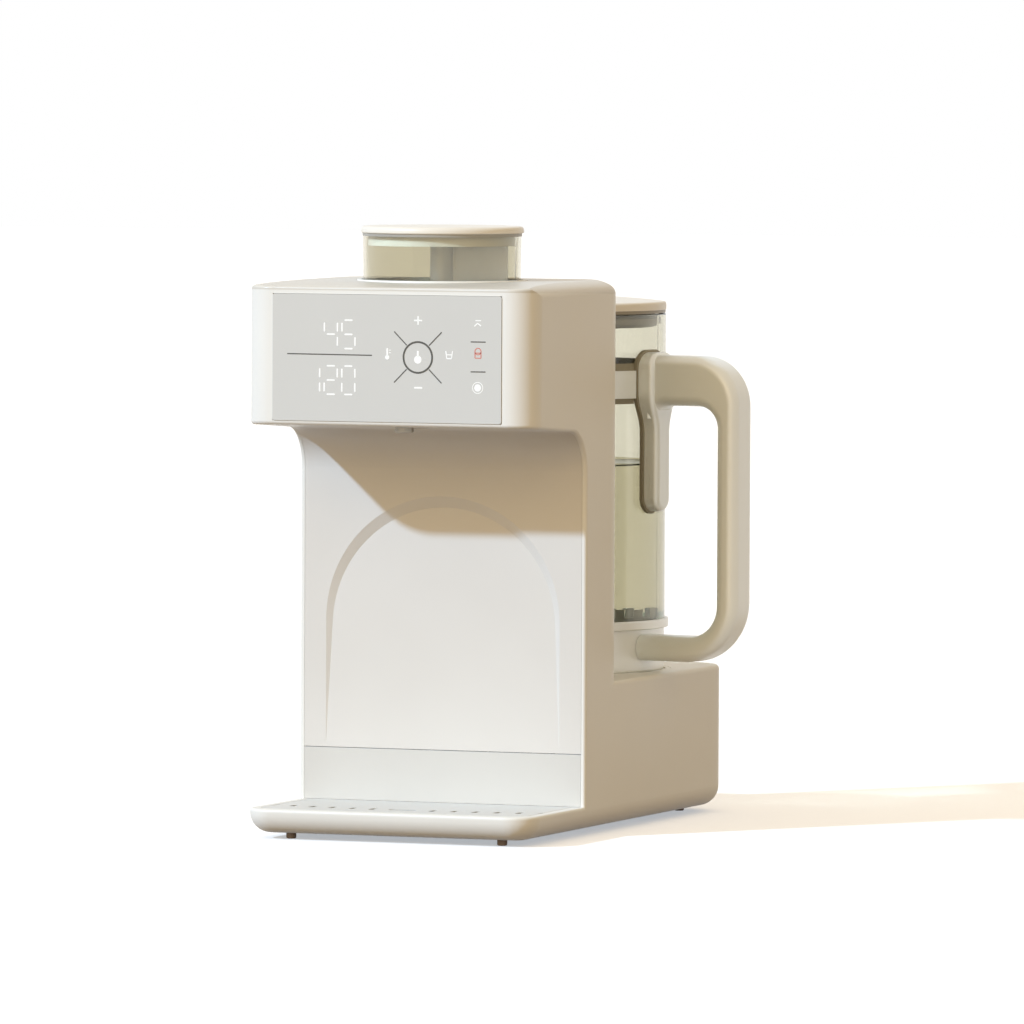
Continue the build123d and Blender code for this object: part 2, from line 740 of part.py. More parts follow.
def powder_chute():
    """Slanted funnel from the dosing outlet, with a short straight spout through the splash panel."""
    def funnel(step, extra):
        foot = underside(powder_outlet_y)
        low = Pos(0, powder_outlet_y, foot - extra) * Circle(chute_bottom_radius - step)
        bend = Pos(0, powder_outlet_y, foot + wall + 0.4) * Circle(chute_bottom_radius - step)
        top = Pos(0, canister_y - pocket_circle, well_floor_height + extra) * Circle(chute_top_radius - step)
        return loft([low, bend, top], ruled=True)
    return funnel(0, 0) - funnel(chute_wall, 0.01)


# ------------------------------------------------------------------ water path and electrics

def water_nozzle():
    tip = underside(outlet_y) - nozzle_drop
    rest = nozzle_rest
    nozzle = disc(nozzle_radius, tip, rest + 1, y=outlet_y)
    nozzle = fillet(edges_at(nozzle, Axis.Z, tip), 0.8)
    nozzle += disc(flange_radius, rest, rest + 1.6, y=outlet_y)
    nozzle += disc(barb_radius, rest + 1, rest + 6, y=outlet_y)
    return nozzle - disc(1.2, tip - 1, rest + 10, y=outlet_y)


def tube(points, radius, bore, bend):
    """Hose along straight runs joined by arcs."""
    path = FilletPolyline(*points, radius=bend)
    start = Plane(origin=path @ 0, z_dir=path % 0)
    return sweep(start * Circle(radius), path=path) - sweep(start * Circle(bore), path=path)


def suction_hose():
    start = (port_x - port_radius - 0.2, port_y, port_barb_height)
    end = (pump_x + pump_radius + 0.2, pump_y, pump_port_height)
    lane = 9.0
    return tube([start, (lane, port_y, port_barb_height), (lane, pump_y, pump_port_height), end], hose_radius, hose_bore, 9)


def riser_hose():
    """From the pump up the column and through the head to the nozzle."""
    start = (pump_x, pump_y - pump_radius - 0.2, pump_port_height)
    points = [start, (pump_x, hose_y, pump_port_height), (pump_x, hose_y, hose_height),
              (hose_x, outlet_y, hose_height), (0, outlet_y, hose_height), (0, outlet_y, nozzle_rest + 1.8)]
    path = FilletPolyline(*points, radius=[18, 18, 12, 6])
    plane = Plane(origin=path @ 0, z_dir=path % 0)
    return sweep(plane * Circle(hose_radius), path=path) - sweep(plane * Circle(hose_bore), path=path)


def water_pump():
    """Small diaphragm pump: motor below, ribbed head above with a suction and a delivery barb."""
    low = pump_port_height - 9
    high = pump_port_height + 8
    pump = disc(pump_motor_radius, plate_thickness + 5, low, pump_x, pump_y)
    head = disc(pump_radius, low, high, pump_x, pump_y)
    pump += fillet(edges_at(head, Axis.Z, high), 2.0)
    pump += disc(pump_radius - 4, high - 1, high + 2.5, pump_x, pump_y)
    pump += rod_x(barb_radius, pump_y, pump_port_height, pump_x + pump_radius - 1, pump_x + pump_radius + 8)
    pump += rod_y(barb_radius, pump_x, pump_port_height, pump_y - pump_radius - 8, pump_y - pump_radius + 1)
    return pump


def pump_cradle():
    """Rubber cup that keeps the pump's noise out of the base."""
    low = plate_thickness
    cup = ring(pump_motor_radius + 4, pump_motor_radius + 0.1, low, low + 22, pump_x, pump_y)
    cup += disc(pump_motor_radius + 4, low, low + 5, pump_x, pump_y)
    return fillet(edges_at(cup, Axis.Z, low + 22), 0.8)


def outlet_port():
    """Water port of the platform: the kettle's tube lands on its seal and the push rod comes up
    through it."""
    top = seat_floor - 1.0
    port = disc(port_radius, port_low, top, port_x, port_y)
    port += disc(solenoid_radius, port_low, port_low + 3, port_x, port_y)
    port += rod_x(barb_radius, port_y, port_barb_height, port_x - port_radius - 8, port_x)
    port -= disc(port_bore, port_low + 4, top + 1, port_x, port_y)
    port -= disc(rod_radius + 0.1, port_low - 1, port_low + 5, port_x, port_y)
    return port - rod_x(1.2, port_y, port_barb_height, port_x - port_radius - 9, port_x)


def port_seal():
    low = seat_floor - 1.0
    return ring(port_radius - 0.3, port_bore + 0.2, low, low + 0.9, port_x, port_y)


def valve_solenoid():
    """Coil in a steel frame below the port."""
    low = port_low - 26
    coil = disc(solenoid_radius, low, port_low, port_x, port_y)
    coil = fillet(edges_at(coil, Axis.Z, low), 1.0)
    coil -= disc(rod_radius + 0.3, low + 4, port_low + 1, port_x, port_y)
    leg = box(port_x - 15, port_x - 12.5, port_y - 9, port_y + 9, plate_thickness, port_low)
    foot = box(port_x - 15, port_x + 12, port_y - 9, port_y + 9, plate_thickness, plate_thickness + 2)
    web = box(port_x - 13, port_x - 10, port_y - 4, port_y + 4, low + 2, port_low - 2)
    return coil + leg + foot + web


poppet_seat = seat_floor + 3.4


def push_rod():
    return disc(rod_radius, port_low - 16, poppet_seat - 0.3, port_x, port_y)


def kettle_seat():
    """Round dish let into the platform, with the coupler and the water port in its floor."""
    flange_low = platform_height - seat_flange
    seat = disc(seat_radius, flange_low, platform_height, y=kettle_y)
    seat = fillet(edges_at(seat, Axis.Z, platform_height), 0.5)
    seat -= disc(ring_radius - 1.2, seat_floor, platform_height + 1, y=kettle_y)
    well = disc(seat_radius - 12.2, 62, flange_low + 0.1, y=kettle_y)
    well -= disc(seat_radius - 14.4, 61, flange_low - 1, y=kettle_y)
    seat += well
    seat -= disc(coupler_radius + 0.2, flange_low - 3, platform_height, y=kettle_y)
    return seat - disc(port_radius + 0.2, flange_low - 3, platform_height, port_x, port_y)


def coupler_base():
    """Cordless connector post: contact rings on a round post that stands up through the seat."""
    post = disc(coupler_radius, 62, seat_floor + 8, y=kettle_y)
    post = fillet(edges_at(post, Axis.Z, seat_floor + 8), 1.0)
    flange_top = platform_height - seat_flange - 1
    post += disc(coupler_radius + 6, flange_top - 4, flange_top, y=kettle_y)
    for radius in (11.5, 7.5):
        post -= ring(radius, radius - 1.6, seat_floor + 2, seat_floor + 9, y=kettle_y)
    return post - disc(2.2, seat_floor, seat_floor + 9, y=kettle_y)


def board_face():
    return head_rear - 24 - board_thickness


def control_board():
    """Bare power and control board in the column, on four posts."""
    return box(-8, 72, board_face(), board_face() + board_thickness, 95, 195)


def board_parts():
    """Relay, choke, transformer, connector block and capacitors on the face of the control board."""
    y = board_face()
    parts = []
    for x_low, x_high, depth, z_low, z_high in ((2, 22, 14, 160, 182), (28, 48, 16, 158, 184),
                                                (0, 26, 11, 104, 126), (40, 64, 8, 102, 116)):
        parts.append(fillet(box(x_low, x_high, y - depth, y, z_low, z_high).edges().filter_by(Axis.Y), 1.0))
    for x, z, radius, depth in ((60, 170, 6.5, 16), (60, 148, 5.0, 14), (38, 140, 4.0, 11)):
        parts.append(rod_y(radius, x, z, y - depth, y))
    return parts


def inlet_pin_places():
    centre = (inlet_low + inlet_high) / 2
    return [(inlet_x + x, centre + z) for x, z in ((-7, -2), (0, 2.5), (7, -2))]


def power_inlet():
    """Three-pin mains inlet in the back of the base."""
    half = inlet_half - cover_gap
    centre = (inlet_low + inlet_high) / 2
    body = box(inlet_x - half, inlet_x + half, rear_y - inlet_depth, rear_y,
               inlet_low + cover_gap, inlet_high - cover_gap)
    body += box(inlet_x - half - 2, inlet_x + half + 2, rear_y - wall - 2, rear_y - wall,
                inlet_low - 2, inlet_high + 2)
    body -= box(inlet_x - 12, inlet_x + 12, rear_y - 17, rear_y + 1, centre - 8.3, centre + 8.3)
    for x, z in inlet_pin_places():
        body -= box(x - 1.05, x + 1.05, rear_y - inlet_depth - 1, rear_y, z - 2.05, z + 2.05)
    return body


def inlet_pins():
    """Three flat pins through the back of the inlet, each with its solder tag behind."""
    return [box(x - 1, x + 1, rear_y - inlet_depth - 6, rear_y - 4, z - 2, z + 2) for x, z in inlet_pin_places()]


# ------------------------------------------------------------------ kettle

def kettle_glass():
    glass = ring(glass_radius, glass_radius - glass_wall, glass_bottom, glass_top, y=kettle_y)
    return fillet(edges_at(glass, Axis.Z, glass_top), 1.0)


def lower_ring():
    """Trim ring round the foot of the glass."""
    band = ring(ring_radius, glass_radius + 0.1, cup_top, cup_top + ring_height, y=kettle_y)
    outer = edges_at(band, Axis.Z, cup_top + ring_height).sort_by(SortBy.RADIUS)[-1:]
    outer += edges_at(band, Axis.Z, cup_top).sort_by(SortBy.RADIUS)[-1:]
    return fillet(outer, 0.8)


def base_cup():
    """Lower housing of the kettle: it stands on the seat and hides the heater."""
    low = seat_floor
    cup = disc(cup_radius, low, cup_top, y=kettle_y)
    cup = fillet(edges_at(cup, Axis.Z, low), 2.0)
    cup -= disc(cup_radius - cup_wall, low + cup_wall, cup_top + 1, y=kettle_y)
    cup -= disc(coupler_radius + 5, low - 1, low + 4, y=kettle_y)
    for side in (-5.0, 5.0):
        hole = rod_x(1.6, side, handle_bottom + lower_arm / 2, cup_radius - 6, cup_radius + 2)
        cup -= at_handle(hole)
    return cup - disc(port_bore + 2.7, low - 1, low + 4, port_x, port_y)


def glass_seal():
    return ring(glass_radius - 0.3, glass_radius - 5.5, cup_top, glass_bottom, y=kettle_y)


def heating_plate():
    plate = disc(glass_radius - 5.7, cup_top, cup_top + 1.6, y=kettle_y)
    plate = fillet(edges_at(plate, Axis.Z, cup_top + 1.6), 0.5)
    return plate - disc(port_bore + 2.7, cup_top - 1, cup_top + 3, port_x, port_y)


def heating_element():
    """Tube heater in a nearly closed ring, pressed to the underside of the plate."""
    start, turn, radius, tube_radius = 20.0, 320.0, 29.0, 3.6
    path = CenterArc((0, 0), radius, start, turn)
    section = Plane(origin=path @ 0, z_dir=path % 0) * Circle(tube_radius)
    element = sweep(section, path=path)
    for angle in (start, start + turn):
        x = radius * cos(radians(angle))
        y = radius * sin(radians(angle))
        element += disc(1.6, -12, 0, x, y)
    return Pos(0, kettle_y, cup_top - tube_radius) * element


def kettle_coupler():
    """Female half of the cordless connector, hung in the hole of the base cup."""
    low = seat_floor + 0.4
    body = disc(coupler_radius + 4.7, low, low + 16, y=kettle_y)
    body += disc(coupler_radius + 8, low + cup_wall - 0.4, low + cup_wall + 2, y=kettle_y)
    body -= disc(coupler_radius + coupler_gap, low - 1, low + 10, y=kettle_y)
    for radius in (11.1, 7.1):
        body += ring(radius, radius - 0.8, seat_floor + 4, low + 11, y=kettle_y)
    return body + disc(1.7, seat_floor + 3, low + 11, y=kettle_y)


def outlet_tube():
    """Outlet from the heating plate to the platform, with the poppet's seat near its foot."""
    top = cup_top + 1.6
    pipe = disc(port_bore + 2.5, seat_floor + 0.3, top, port_x, port_y)
    pipe -= disc(port_bore, poppet_seat, top + 1, port_x, port_y)
    return pipe - disc(port_bore - 2.2, seat_floor - 1, poppet_seat + 1, port_x, port_y)


def valve_poppet():
    """Rubber-faced head that rests on the seat, with a stem that guides the spring."""
    head = disc(port_bore - 0.4, poppet_seat, poppet_seat + 2, port_x, port_y)
    return head + disc(1.2, poppet_seat + 1.5, poppet_seat + 9, port_x, port_y)


def poppet_spring():
    """Light coil between the poppet and the strainer's spigot."""
    low = poppet_seat + 2.3
    high = cup_top - 2.3
    turns = 6
    wire = 0.35
    path = Helix(pitch=(high - low) / turns, height=high - low, radius=2.6)
    section = Plane(origin=path @ 0, z_dir=path % 0) * RegularPolygon(wire, 6)
    return Pos(port_x, port_y, low) * sweep(section, path=path, is_frenet=True)


def outlet_strainer():
    """Castellated crown over the outlet. Its spigot drops into the tube and stops the spring."""
    low = cup_top + 1.6
    crown = ring(13.0, 10.6, low, low + 8.4, port_x, port_y)
    for i in range(4):
        crown -= Pos(port_x, port_y, low + 6.4) * Rot(0, 0, i * 45 + 22.5) * Box(30, 5.0, 5.0)
    deck = disc(11.0, low, low + 1.6, port_x, port_y)
    spigot = disc(port_bore - 0.1, cup_top - 2.0, low + 0.5, port_x, port_y)
    body = crown + deck + spigot
    for i in range(6):
        angle = radians(60 * i)
        body -= disc(1.1, cup_top - 3, low + 3, port_x + 3.4 * cos(angle), port_y + 3.4 * sin(angle))
    return body


def at_handle(shape):
    """Places a shape drawn along +X from the kettle's axis on the side where the handle is."""
    return Pos(0, kettle_y, 0) * Rot(0, 0, handle_angle) * shape


def drop_face(border=0.0):
    """Outline of the upper root and its leg, seen from outside: a broad head that narrows to a leg."""
    head = root_width / 2 + border
    leg = leg_width / 2 + border
    shoulder = handle_top + 1.5 - root_height
    right = [(leg, leg_bottom - border), (leg, shoulder - 5), (head, shoulder + 9), (head, handle_top + 1.5 + border)]
    left = [(-x, z) for x, z in reversed(right)]
    face = make_face(Polyline(*right, *left, close=True))
    face = fillet(face.vertices().sort_by(Axis.Y)[:2], leg_width / 2 - 0.1 + border)
    face = fillet(face.vertices().sort_by(Axis.Y)[-2:], 9.0 + border)
    waist = [v for v in face.vertices() if shoulder - 6 < v.Y < shoulder + 10]
    return Plane.YZ * fillet(waist, 24.0)


def handle():
    """D-shaped grip: a flat bar with round edges, its broad upper root on a drop-shaped leg."""
    reach = handle_reach
    inner = reach - handle_bar
    upper = handle_top - upper_arm
    lower = handle_bottom + lower_arm
    start = cup_radius + 0.3
    root = root_outer_radius - 5
    q = 1 - sqrt(0.5)
    outline = Polyline((root, handle_top), (reach - outer_top_bend, handle_top))
    outline += ThreePointArc((reach - outer_top_bend, handle_top),
                             (reach - outer_top_bend * q, handle_top - outer_top_bend * q),
                             (reach, handle_top - outer_top_bend))
    outline += Line((reach, handle_top - outer_top_bend), (reach, handle_bottom + outer_bottom_bend))
    outline += ThreePointArc((reach, handle_bottom + outer_bottom_bend),
                             (reach - outer_bottom_bend * q, handle_bottom + outer_bottom_bend * q),
                             (reach - outer_bottom_bend, handle_bottom))
    outline += Polyline((reach - outer_bottom_bend, handle_bottom), (start - 4, handle_bottom),
                        (start - 4, lower), (inner - inner_bottom_bend, lower))
    outline += ThreePointArc((inner - inner_bottom_bend, lower),
                             (inner - inner_bottom_bend * q, lower + inner_bottom_bend * q),
                             (inner, lower + inner_bottom_bend))
    outline += Line((inner, lower + inner_bottom_bend), (inner, upper - inner_top_bend))
    outline += ThreePointArc((inner, upper - inner_top_bend),
                             (inner - inner_top_bend * q, upper - inner_top_bend * q),
                             (inner - inner_top_bend, upper))
    crotch = 7.0
    leg_face = root_outer_radius - 1.5
    outline += Line((inner - inner_top_bend, upper), (leg_face + crotch, upper))
    outline += ThreePointArc((leg_face + crotch, upper),
                             (leg_face + crotch * q, upper - crotch * q), (leg_face, upper - crotch))
    outline += Polyline((leg_face, upper - crotch), (root, upper - crotch), (root, handle_top))
    bar = extrude(Plane.XZ * make_face(outline), amount=handle_width / 2, both=True)
    rails = [edge for edge in bar.edges() if edge.center().X > leg_face + 0.01]
    rails = [edge for edge in rails if abs(abs(edge.center().Y) - handle_width / 2) < 0.01]
    bar = fillet(rails, handle_edge)
    bar -= Cylinder(start, 400)
    for side in (-5.0, 5.0):
        bar -= rod_x(1.55, side, handle_bottom + lower_arm / 2, start - 5, start + 12)
    saddle = extrude(drop_face(), amount=root_outer_radius)
    rim = edges_at(saddle, Axis.X, root_outer_radius)
    saddle = fillet(rim, 3.2)
    saddle -= Cylinder(handle_lug_radius, 700)
    return at_handle(bar + saddle)


def handle_screws():
    """Two screws from inside the base cup into the lower arm."""
    height = handle_bottom + lower_arm / 2
    head_face = cup_radius - cup_wall - 0.7
    screws = []
    for side in (-5.0, 5.0):
        screw = rod_x(2.6, side, height, head_face - 2.2, head_face)
        screws.append(at_handle(screw + rod_x(1.5, side, height, head_face - 0.2, head_face + 12)))
    return screws


def handle_pad():
    """Dark rubber pad between the glass and the root, a little larger than the root all round."""
    pad = extrude(drop_face(pad_border), amount=root_outer_radius)
    sleeve = Cylinder(handle_lug_radius - 0.1, 700) - Cylinder(glass_radius + 0.1, 700)
    return at_handle(pad & sleeve)


def band_notch():
    """Space that the pad takes out of the clamp band and its liner."""
    half = root_width / 2 + pad_border + 0.2
    return at_handle(box(0, 90, -half, half, band_bottom - 20, band_bottom + band_height + 20))


def handle_band():
    """Clamp band that ties the handle to the glass."""
    inner = glass_radius + liner_thickness + 0.1
    return ring(inner + band_thickness, inner, band_bottom, band_bottom + band_height, y=kettle_y) - band_notch()


def band_liner():
    low = band_bottom - liner_below
    high = band_bottom + band_height + liner_above
    return ring(glass_radius + liner_thickness, glass_radius + 0.1, low, high, y=kettle_y) - band_notch()


def kettle_lid():
    """Shallow domed lid that overlaps the rim of the glass."""
    low = glass_top + 1.9
    edge = low + kettle_lid_edge
    dome_radius = (kettle_lid_radius ** 2 + kettle_lid_crown ** 2) / (2 * kettle_lid_crown)
    lid = disc(kettle_lid_radius, low, edge + kettle_lid_crown)
    lid &= Pos(0, 0, edge + kettle_lid_crown - dome_radius) * Sphere(dome_radius)
    rim = [e for e in lid.edges() if e.center().Z > low + 1 and e.length > 300]
    lid = fillet(rim, 1.6)
    return Pos(0, kettle_y, 0) * lid


def lid_plug():
    """Dark inner part of the lid: a flange on the glass rim and a round plug inside it."""
    low = glass_top + 1.9
    plug = disc(lid_plug_radius, low - lid_plug_depth, low, y=kettle_y)
    plug = fillet(edges_at(plug, Axis.Z, low - lid_plug_depth), 1.5)
    plug -= disc(lid_plug_radius - 2.5, low - lid_plug_depth - 1, low - 3, y=kettle_y)
    return plug + ring(glass_radius - 0.4, lid_plug_radius - 1, low - 1.6, low, y=kettle_y)


def lid_gasket():
    low = glass_top - 5.5
    gasket = ring(glass_radius - glass_wall - 0.3, lid_plug_radius + 0.1, low, low + 3, y=kettle_y)
    return gasket


parts = {
    "main_housing": main_housing, "base_plate": base_plate, "rubber_feet": rubber_feet,
    "base_screws": base_screws, "splash_panel": splash_panel, "lower_front_panel": lower_front_panel,
    "head_top_cover": head_top_cover, "touch_plate": touch_plate, "touch_board": touch_board,
    "drip_tray": drip_tray, "drip_grid": drip_grid, "canister_well": canister_well,
    "canister_base": canister_base, "powder_canister": powder_canister, "dosing_wheel": dosing_wheel,
    "powder_stirrer": powder_stirrer, "canister_lid": canister_lid, "lid_seal": lid_seal,
    "drive_gear": drive_gear, "motor_pinion": motor_pinion, "motor_plate": motor_plate,
    "gear_motor": gear_motor, "powder_chute": powder_chute, "water_nozzle": water_nozzle,
    "suction_hose": suction_hose, "riser_hose": riser_hose, "water_pump": water_pump,
    "pump_cradle": pump_cradle, "outlet_port": outlet_port, "port_seal": port_seal,
    "valve_solenoid": valve_solenoid, "push_rod": push_rod, "kettle_seat": kettle_seat,
    "coupler_base": coupler_base, "control_board": control_board, "board_parts": board_parts,
    "power_inlet": power_inlet, "inlet_pins": inlet_pins,
    "kettle_glass": kettle_glass, "lower_ring": lower_ring, "base_cup": base_cup,
    "glass_seal": glass_seal, "heating_plate": heating_plate, "heating_element": heating_element,
    "kettle_coupler": kettle_coupler, "outlet_tube": outlet_tube, "valve_poppet": valve_poppet,
    "poppet_spring": poppet_spring, "outlet_strainer": outlet_strainer, "handle": handle,
    "handle_screws": handle_screws, "handle_pad": handle_pad, "handle_band": handle_band, "band_liner": band_liner,
    "kettle_lid": kettle_lid, "lid_plug": lid_plug, "lid_gasket": lid_gasket,
}

os.makedirs("parts", exist_ok=True)
for name, make in parts.items():
    shape = make()
    shape = Compound(children=list(shape)) if isinstance(shape, list) else shape
    export_step(shape, f"parts/{name}.step")
    print(name, f"{shape.volume:.0f} mm3")
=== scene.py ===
import math
import bpy
from mathutils import Matrix, Vector


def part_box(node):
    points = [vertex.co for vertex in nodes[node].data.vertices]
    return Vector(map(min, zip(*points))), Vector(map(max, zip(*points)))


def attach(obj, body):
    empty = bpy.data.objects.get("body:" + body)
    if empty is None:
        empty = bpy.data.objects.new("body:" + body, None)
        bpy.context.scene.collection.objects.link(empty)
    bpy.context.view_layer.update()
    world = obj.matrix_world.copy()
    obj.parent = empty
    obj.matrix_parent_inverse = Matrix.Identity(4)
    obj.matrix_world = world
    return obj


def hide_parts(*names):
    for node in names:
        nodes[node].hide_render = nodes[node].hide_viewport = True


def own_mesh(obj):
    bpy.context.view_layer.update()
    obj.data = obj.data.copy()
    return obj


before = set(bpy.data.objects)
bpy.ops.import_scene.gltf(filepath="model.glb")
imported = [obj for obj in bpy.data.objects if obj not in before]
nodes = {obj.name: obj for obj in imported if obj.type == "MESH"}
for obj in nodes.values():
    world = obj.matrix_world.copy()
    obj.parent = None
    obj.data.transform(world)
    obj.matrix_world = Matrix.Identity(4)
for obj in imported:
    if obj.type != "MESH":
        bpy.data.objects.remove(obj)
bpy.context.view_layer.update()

# ---------------------------------------------------------------- camera
# A long lens stands to the right of the machine's front and a little above its middle, turned 21
# degrees towards the left, so that the front, the right side and the kettle's handle all show.

heading, downward, lean = 21.0, 2.66, 0.256
stand = (2.0415, -5.2888, 0.4290)

bpy.ops.object.select_all(action="DESELECT")
bpy.ops.object.camera_add()
camera = bpy.context.object
camera.name = "camera"
camera.data.sensor_width = 36.0
camera.data.lens = 369.14
camera.data.clip_start = 0.5
camera.data.clip_end = 60.0
turn = Matrix.Rotation(math.radians(heading), 4, "Z")
tilt = Matrix.Rotation(math.radians(90.0 - downward), 4, "X")
roll = Matrix.Rotation(math.radians(lean), 4, "Z")
camera.matrix_world = Matrix.Translation(stand) @ turn @ tilt @ roll
bpy.context.scene.camera = camera

# ---------------------------------------------------------------- floor and light
# A matt white table top runs out to a white room. A cool lamp stands to the left, in front and above,
# and a large warm panel in front and the light from the warm walls fill its shadows.


def rgb(code):
    """sRGB hex to the linear colour that a shader takes."""
    channels = [int(code[i:i + 2], 16) / 255 for i in (1, 3, 5)]
    return [c / 12.92 if c <= 0.04045 else ((c + 0.055) / 1.055) ** 2.4 for c in channels] + [1.0]


def add_node(tree, kind, inputs=(), **settings):
    """Adds one node with its settings. An input given as a socket is linked to it."""
    node = tree.nodes.new(kind)
    for name, value in settings.items():
        setattr(node, name, value)
    for name, value in dict(inputs).items():
        if isinstance(value, bpy.types.NodeSocket):
            tree.links.new(value, node.inputs[name])
        else:
            node.inputs[name].default_value = value
    return node


def empty_material(name):
    """A new material and its tree, with no nodes yet."""
    material = bpy.data.materials.new(name)
    material.use_nodes = True
    material.node_tree.nodes.clear()
    return material, material.node_tree


def seen_directly(tree):
    """1 for rays from the camera, for reflections and for what glass shows, and 0 for light."""
    path = add_node(tree, "ShaderNodeLightPath")
    seen = path.outputs["Is Camera Ray"]
    for kind in ("Is Glossy Ray", "Is Transmission Ray"):
        either = add_node(tree, "ShaderNodeMath", {0: seen, 1: path.outputs[kind]}, operation="MAXIMUM")
        seen = either.outputs[0]
    return seen


scene = bpy.context.scene
scene.view_settings.view_transform = "Standard"
room = bpy.data.worlds.new("pale_room")
scene.world = room
room.use_nodes = True
tree = room.node_tree
tree.nodes.clear()
walls = add_node(tree, "ShaderNodeBackground", {"Color": rgb("#FFE8C3"), "Strength": 0.63})
backdrop = add_node(tree, "ShaderNodeBackground", {"Color": rgb("#FFFFFF"), "Strength": 1.0})
either = add_node(tree, "ShaderNodeMixShader",
                  {0: seen_directly(tree), 1: walls.outputs[0], 2: backdrop.outputs[0]})
add_node(tree, "ShaderNodeOutputWorld", {"Surface": either.outputs[0]})

feet_bottom = -0.0033
clearance = 0.00005
bpy.ops.mesh.primitive_plane_add(size=30.0, location=(0, 0, feet_bottom - clearance))
floor = bpy.context.object
floor.name = "table_top"
table_white, tree = empty_material("matt_white_laminate")
matt = add_node(tree, "ShaderNodeBsdfDiffuse", {"Color": rgb("#F4F1EC")})
glow = add_node(tree, "ShaderNodeEmission", {"Color": rgb("#E2E8EF"), "Strength": 0.52})
shown = add_node(tree, "ShaderNodeAddShader", {0: matt.outputs[0], 1: glow.outputs[0]})
warm = add_node(tree, "ShaderNodeBsdfDiffuse", {"Color": rgb("#7A6650")})
surface = add_node(tree, "ShaderNodeMixShader",
                   {0: seen_directly(tree), 1: warm.outputs[0], 2: shown.outputs[0]})
add_node(tree, "ShaderNodeOutputMaterial", {"Surface": surface.outputs[0]})
floor.data.materials.append(table_white)


def add_lamp(name, toward, strength, softness, colour):
    """Parallel lamp whose light travels toward the given direction."""
    bpy.ops.object.light_add(type="SUN", location=(0, 0, 2))
    lamp = bpy.context.object
    lamp.name = name
    lamp.rotation_euler = Vector(toward).to_track_quat("-Z", "Y").to_euler()
    lamp.data.energy = strength
    lamp.data.angle = math.radians(softness)
    lamp.data.color = rgb(colour)[:3]


add_lamp("key_lamp", (61, 85, -62), 2.85, 2.2, "#BDDDFF")
add_lamp("front_panel", (5, 80, -12), 0.9, 60.0, "#FFDFA3")

# ---------------------------------------------------------------- main housing
# The body is one injection moulding in warm white ABS, taken from a spark-eroded tool. That gives
# an even satin skin with a very fine grain and a slight unevenness of gloss over large areas.


def own_place(tree):
    """The place on the piece, for textures that stay with it as it moves."""
    return add_node(tree, "ShaderNodeTexCoord").outputs["Object"]


def noise(tree, place, size_mm, detail=2.0, roughness=0.5):
    """Noise from 0 to 1 with features of about the given size."""
    cloud = add_node(tree, "ShaderNodeTexNoise", {"Vector": place, "Scale": 1000 / size_mm, "Detail": detail,
                                                  "Roughness": roughness})
    return cloud.outputs["Fac"]


def two_tone(tree, factor, first, second, start=0.0, end=1.0):
    """Colour that goes from first to second while the factor goes from start to end."""
    ramp = add_node(tree, "ShaderNodeValToRGB", {0: factor})
    for stop, place, colour in zip(ramp.color_ramp.elements, (start, end), (first, second)):
        stop.position = place
        stop.color = colour
    return ramp.outputs["Color"]


def spread(tree, factor, low, high, start=0.0, end=1.0):
    """Value that goes from low to high while the factor goes from start to end."""
    return add_node(tree, "ShaderNodeMapRange", {0: factor, 1: start, 2: end, 3: low, 4: high}).outputs[0]


def relief(tree, height, strength, depth_mm):
    """Normal of a surface with this height on it."""
    bump = add_node(tree, "ShaderNodeBump", {"Height": height, "Strength": strength,
                                             "Distance": depth_mm / 1000})
    return bump.outputs["Normal"]


def darker(colour, share):
    """The colour with only this share of its light."""
    return [c * share for c in colour[:3]] + [1.0]


def principled(tree, inputs):
    """Closes the tree with a Principled surface."""
    skin = add_node(tree, "ShaderNodeBsdfPrincipled", inputs)
    add_node(tree, "ShaderNodeOutputMaterial", {"Surface": skin.outputs[0]})


def moulded_plastic(name, colour, roughness=0.42, grain_mm=0.9, grain_depth_mm=0.012, drift=0.03, coat=0.0,
                    coat_ior=1.5, coat_roughness=0.12):
    """Moulded thermoplastic. The real grain is about a third of grain_mm and would not show."""
    material, tree = empty_material(name)
    place = own_place(tree)
    grain = noise(tree, place, grain_mm, detail=3.0, roughness=0.6)
    flow = noise(tree, place, 70)
    base = rgb(colour)
    tint = two_tone(tree, flow, darker(base, 1 - drift), base, 0.3, 0.7)
    gloss = spread(tree, flow, roughness * 0.92, roughness * 1.08, 0.3, 0.7)
    speck = spread(tree, grain, -0.03, 0.03, 0.3, 0.7)
    rough = add_node(tree, "ShaderNodeMath", {0: gloss, 1: speck}, operation="ADD").outputs[0]
    principled(tree, {"Base Color": tint, "Roughness": rough, "IOR": 1.53, "Coat Weight": coat,
                      "Coat Roughness": coat_roughness, "Coat IOR": coat_ior,
                      "Normal": relief(tree, grain, 0.35, grain_depth_mm)})
    return material


def finish(material, *names):
    """Gives CAD nodes their material."""
    for name in names:
        nodes[name].data.materials.clear()
        nodes[name].data.materials.append(material)


body_abs = moulded_plastic("spark_eroded_abs_warm_white", "#F5F4EE", roughness=0.46)
finish(body_abs, "main_housing", "canister_well", "kettle_seat")

# ---------------------------------------------------------------- base plate, feet and screws
# The bottom cover is a plainer moulding in the same plastic. Grey rubber feet are pushed into it
# and into the front deck, and six zinc-plated pan-head screws with cross recesses hold it.

plate_abs = moulded_plastic("moulded_abs_base", "#DEDAD1", roughness=0.55, grain_mm=1.4, grain_depth_mm=0.03)
finish(plate_abs, "base_plate")


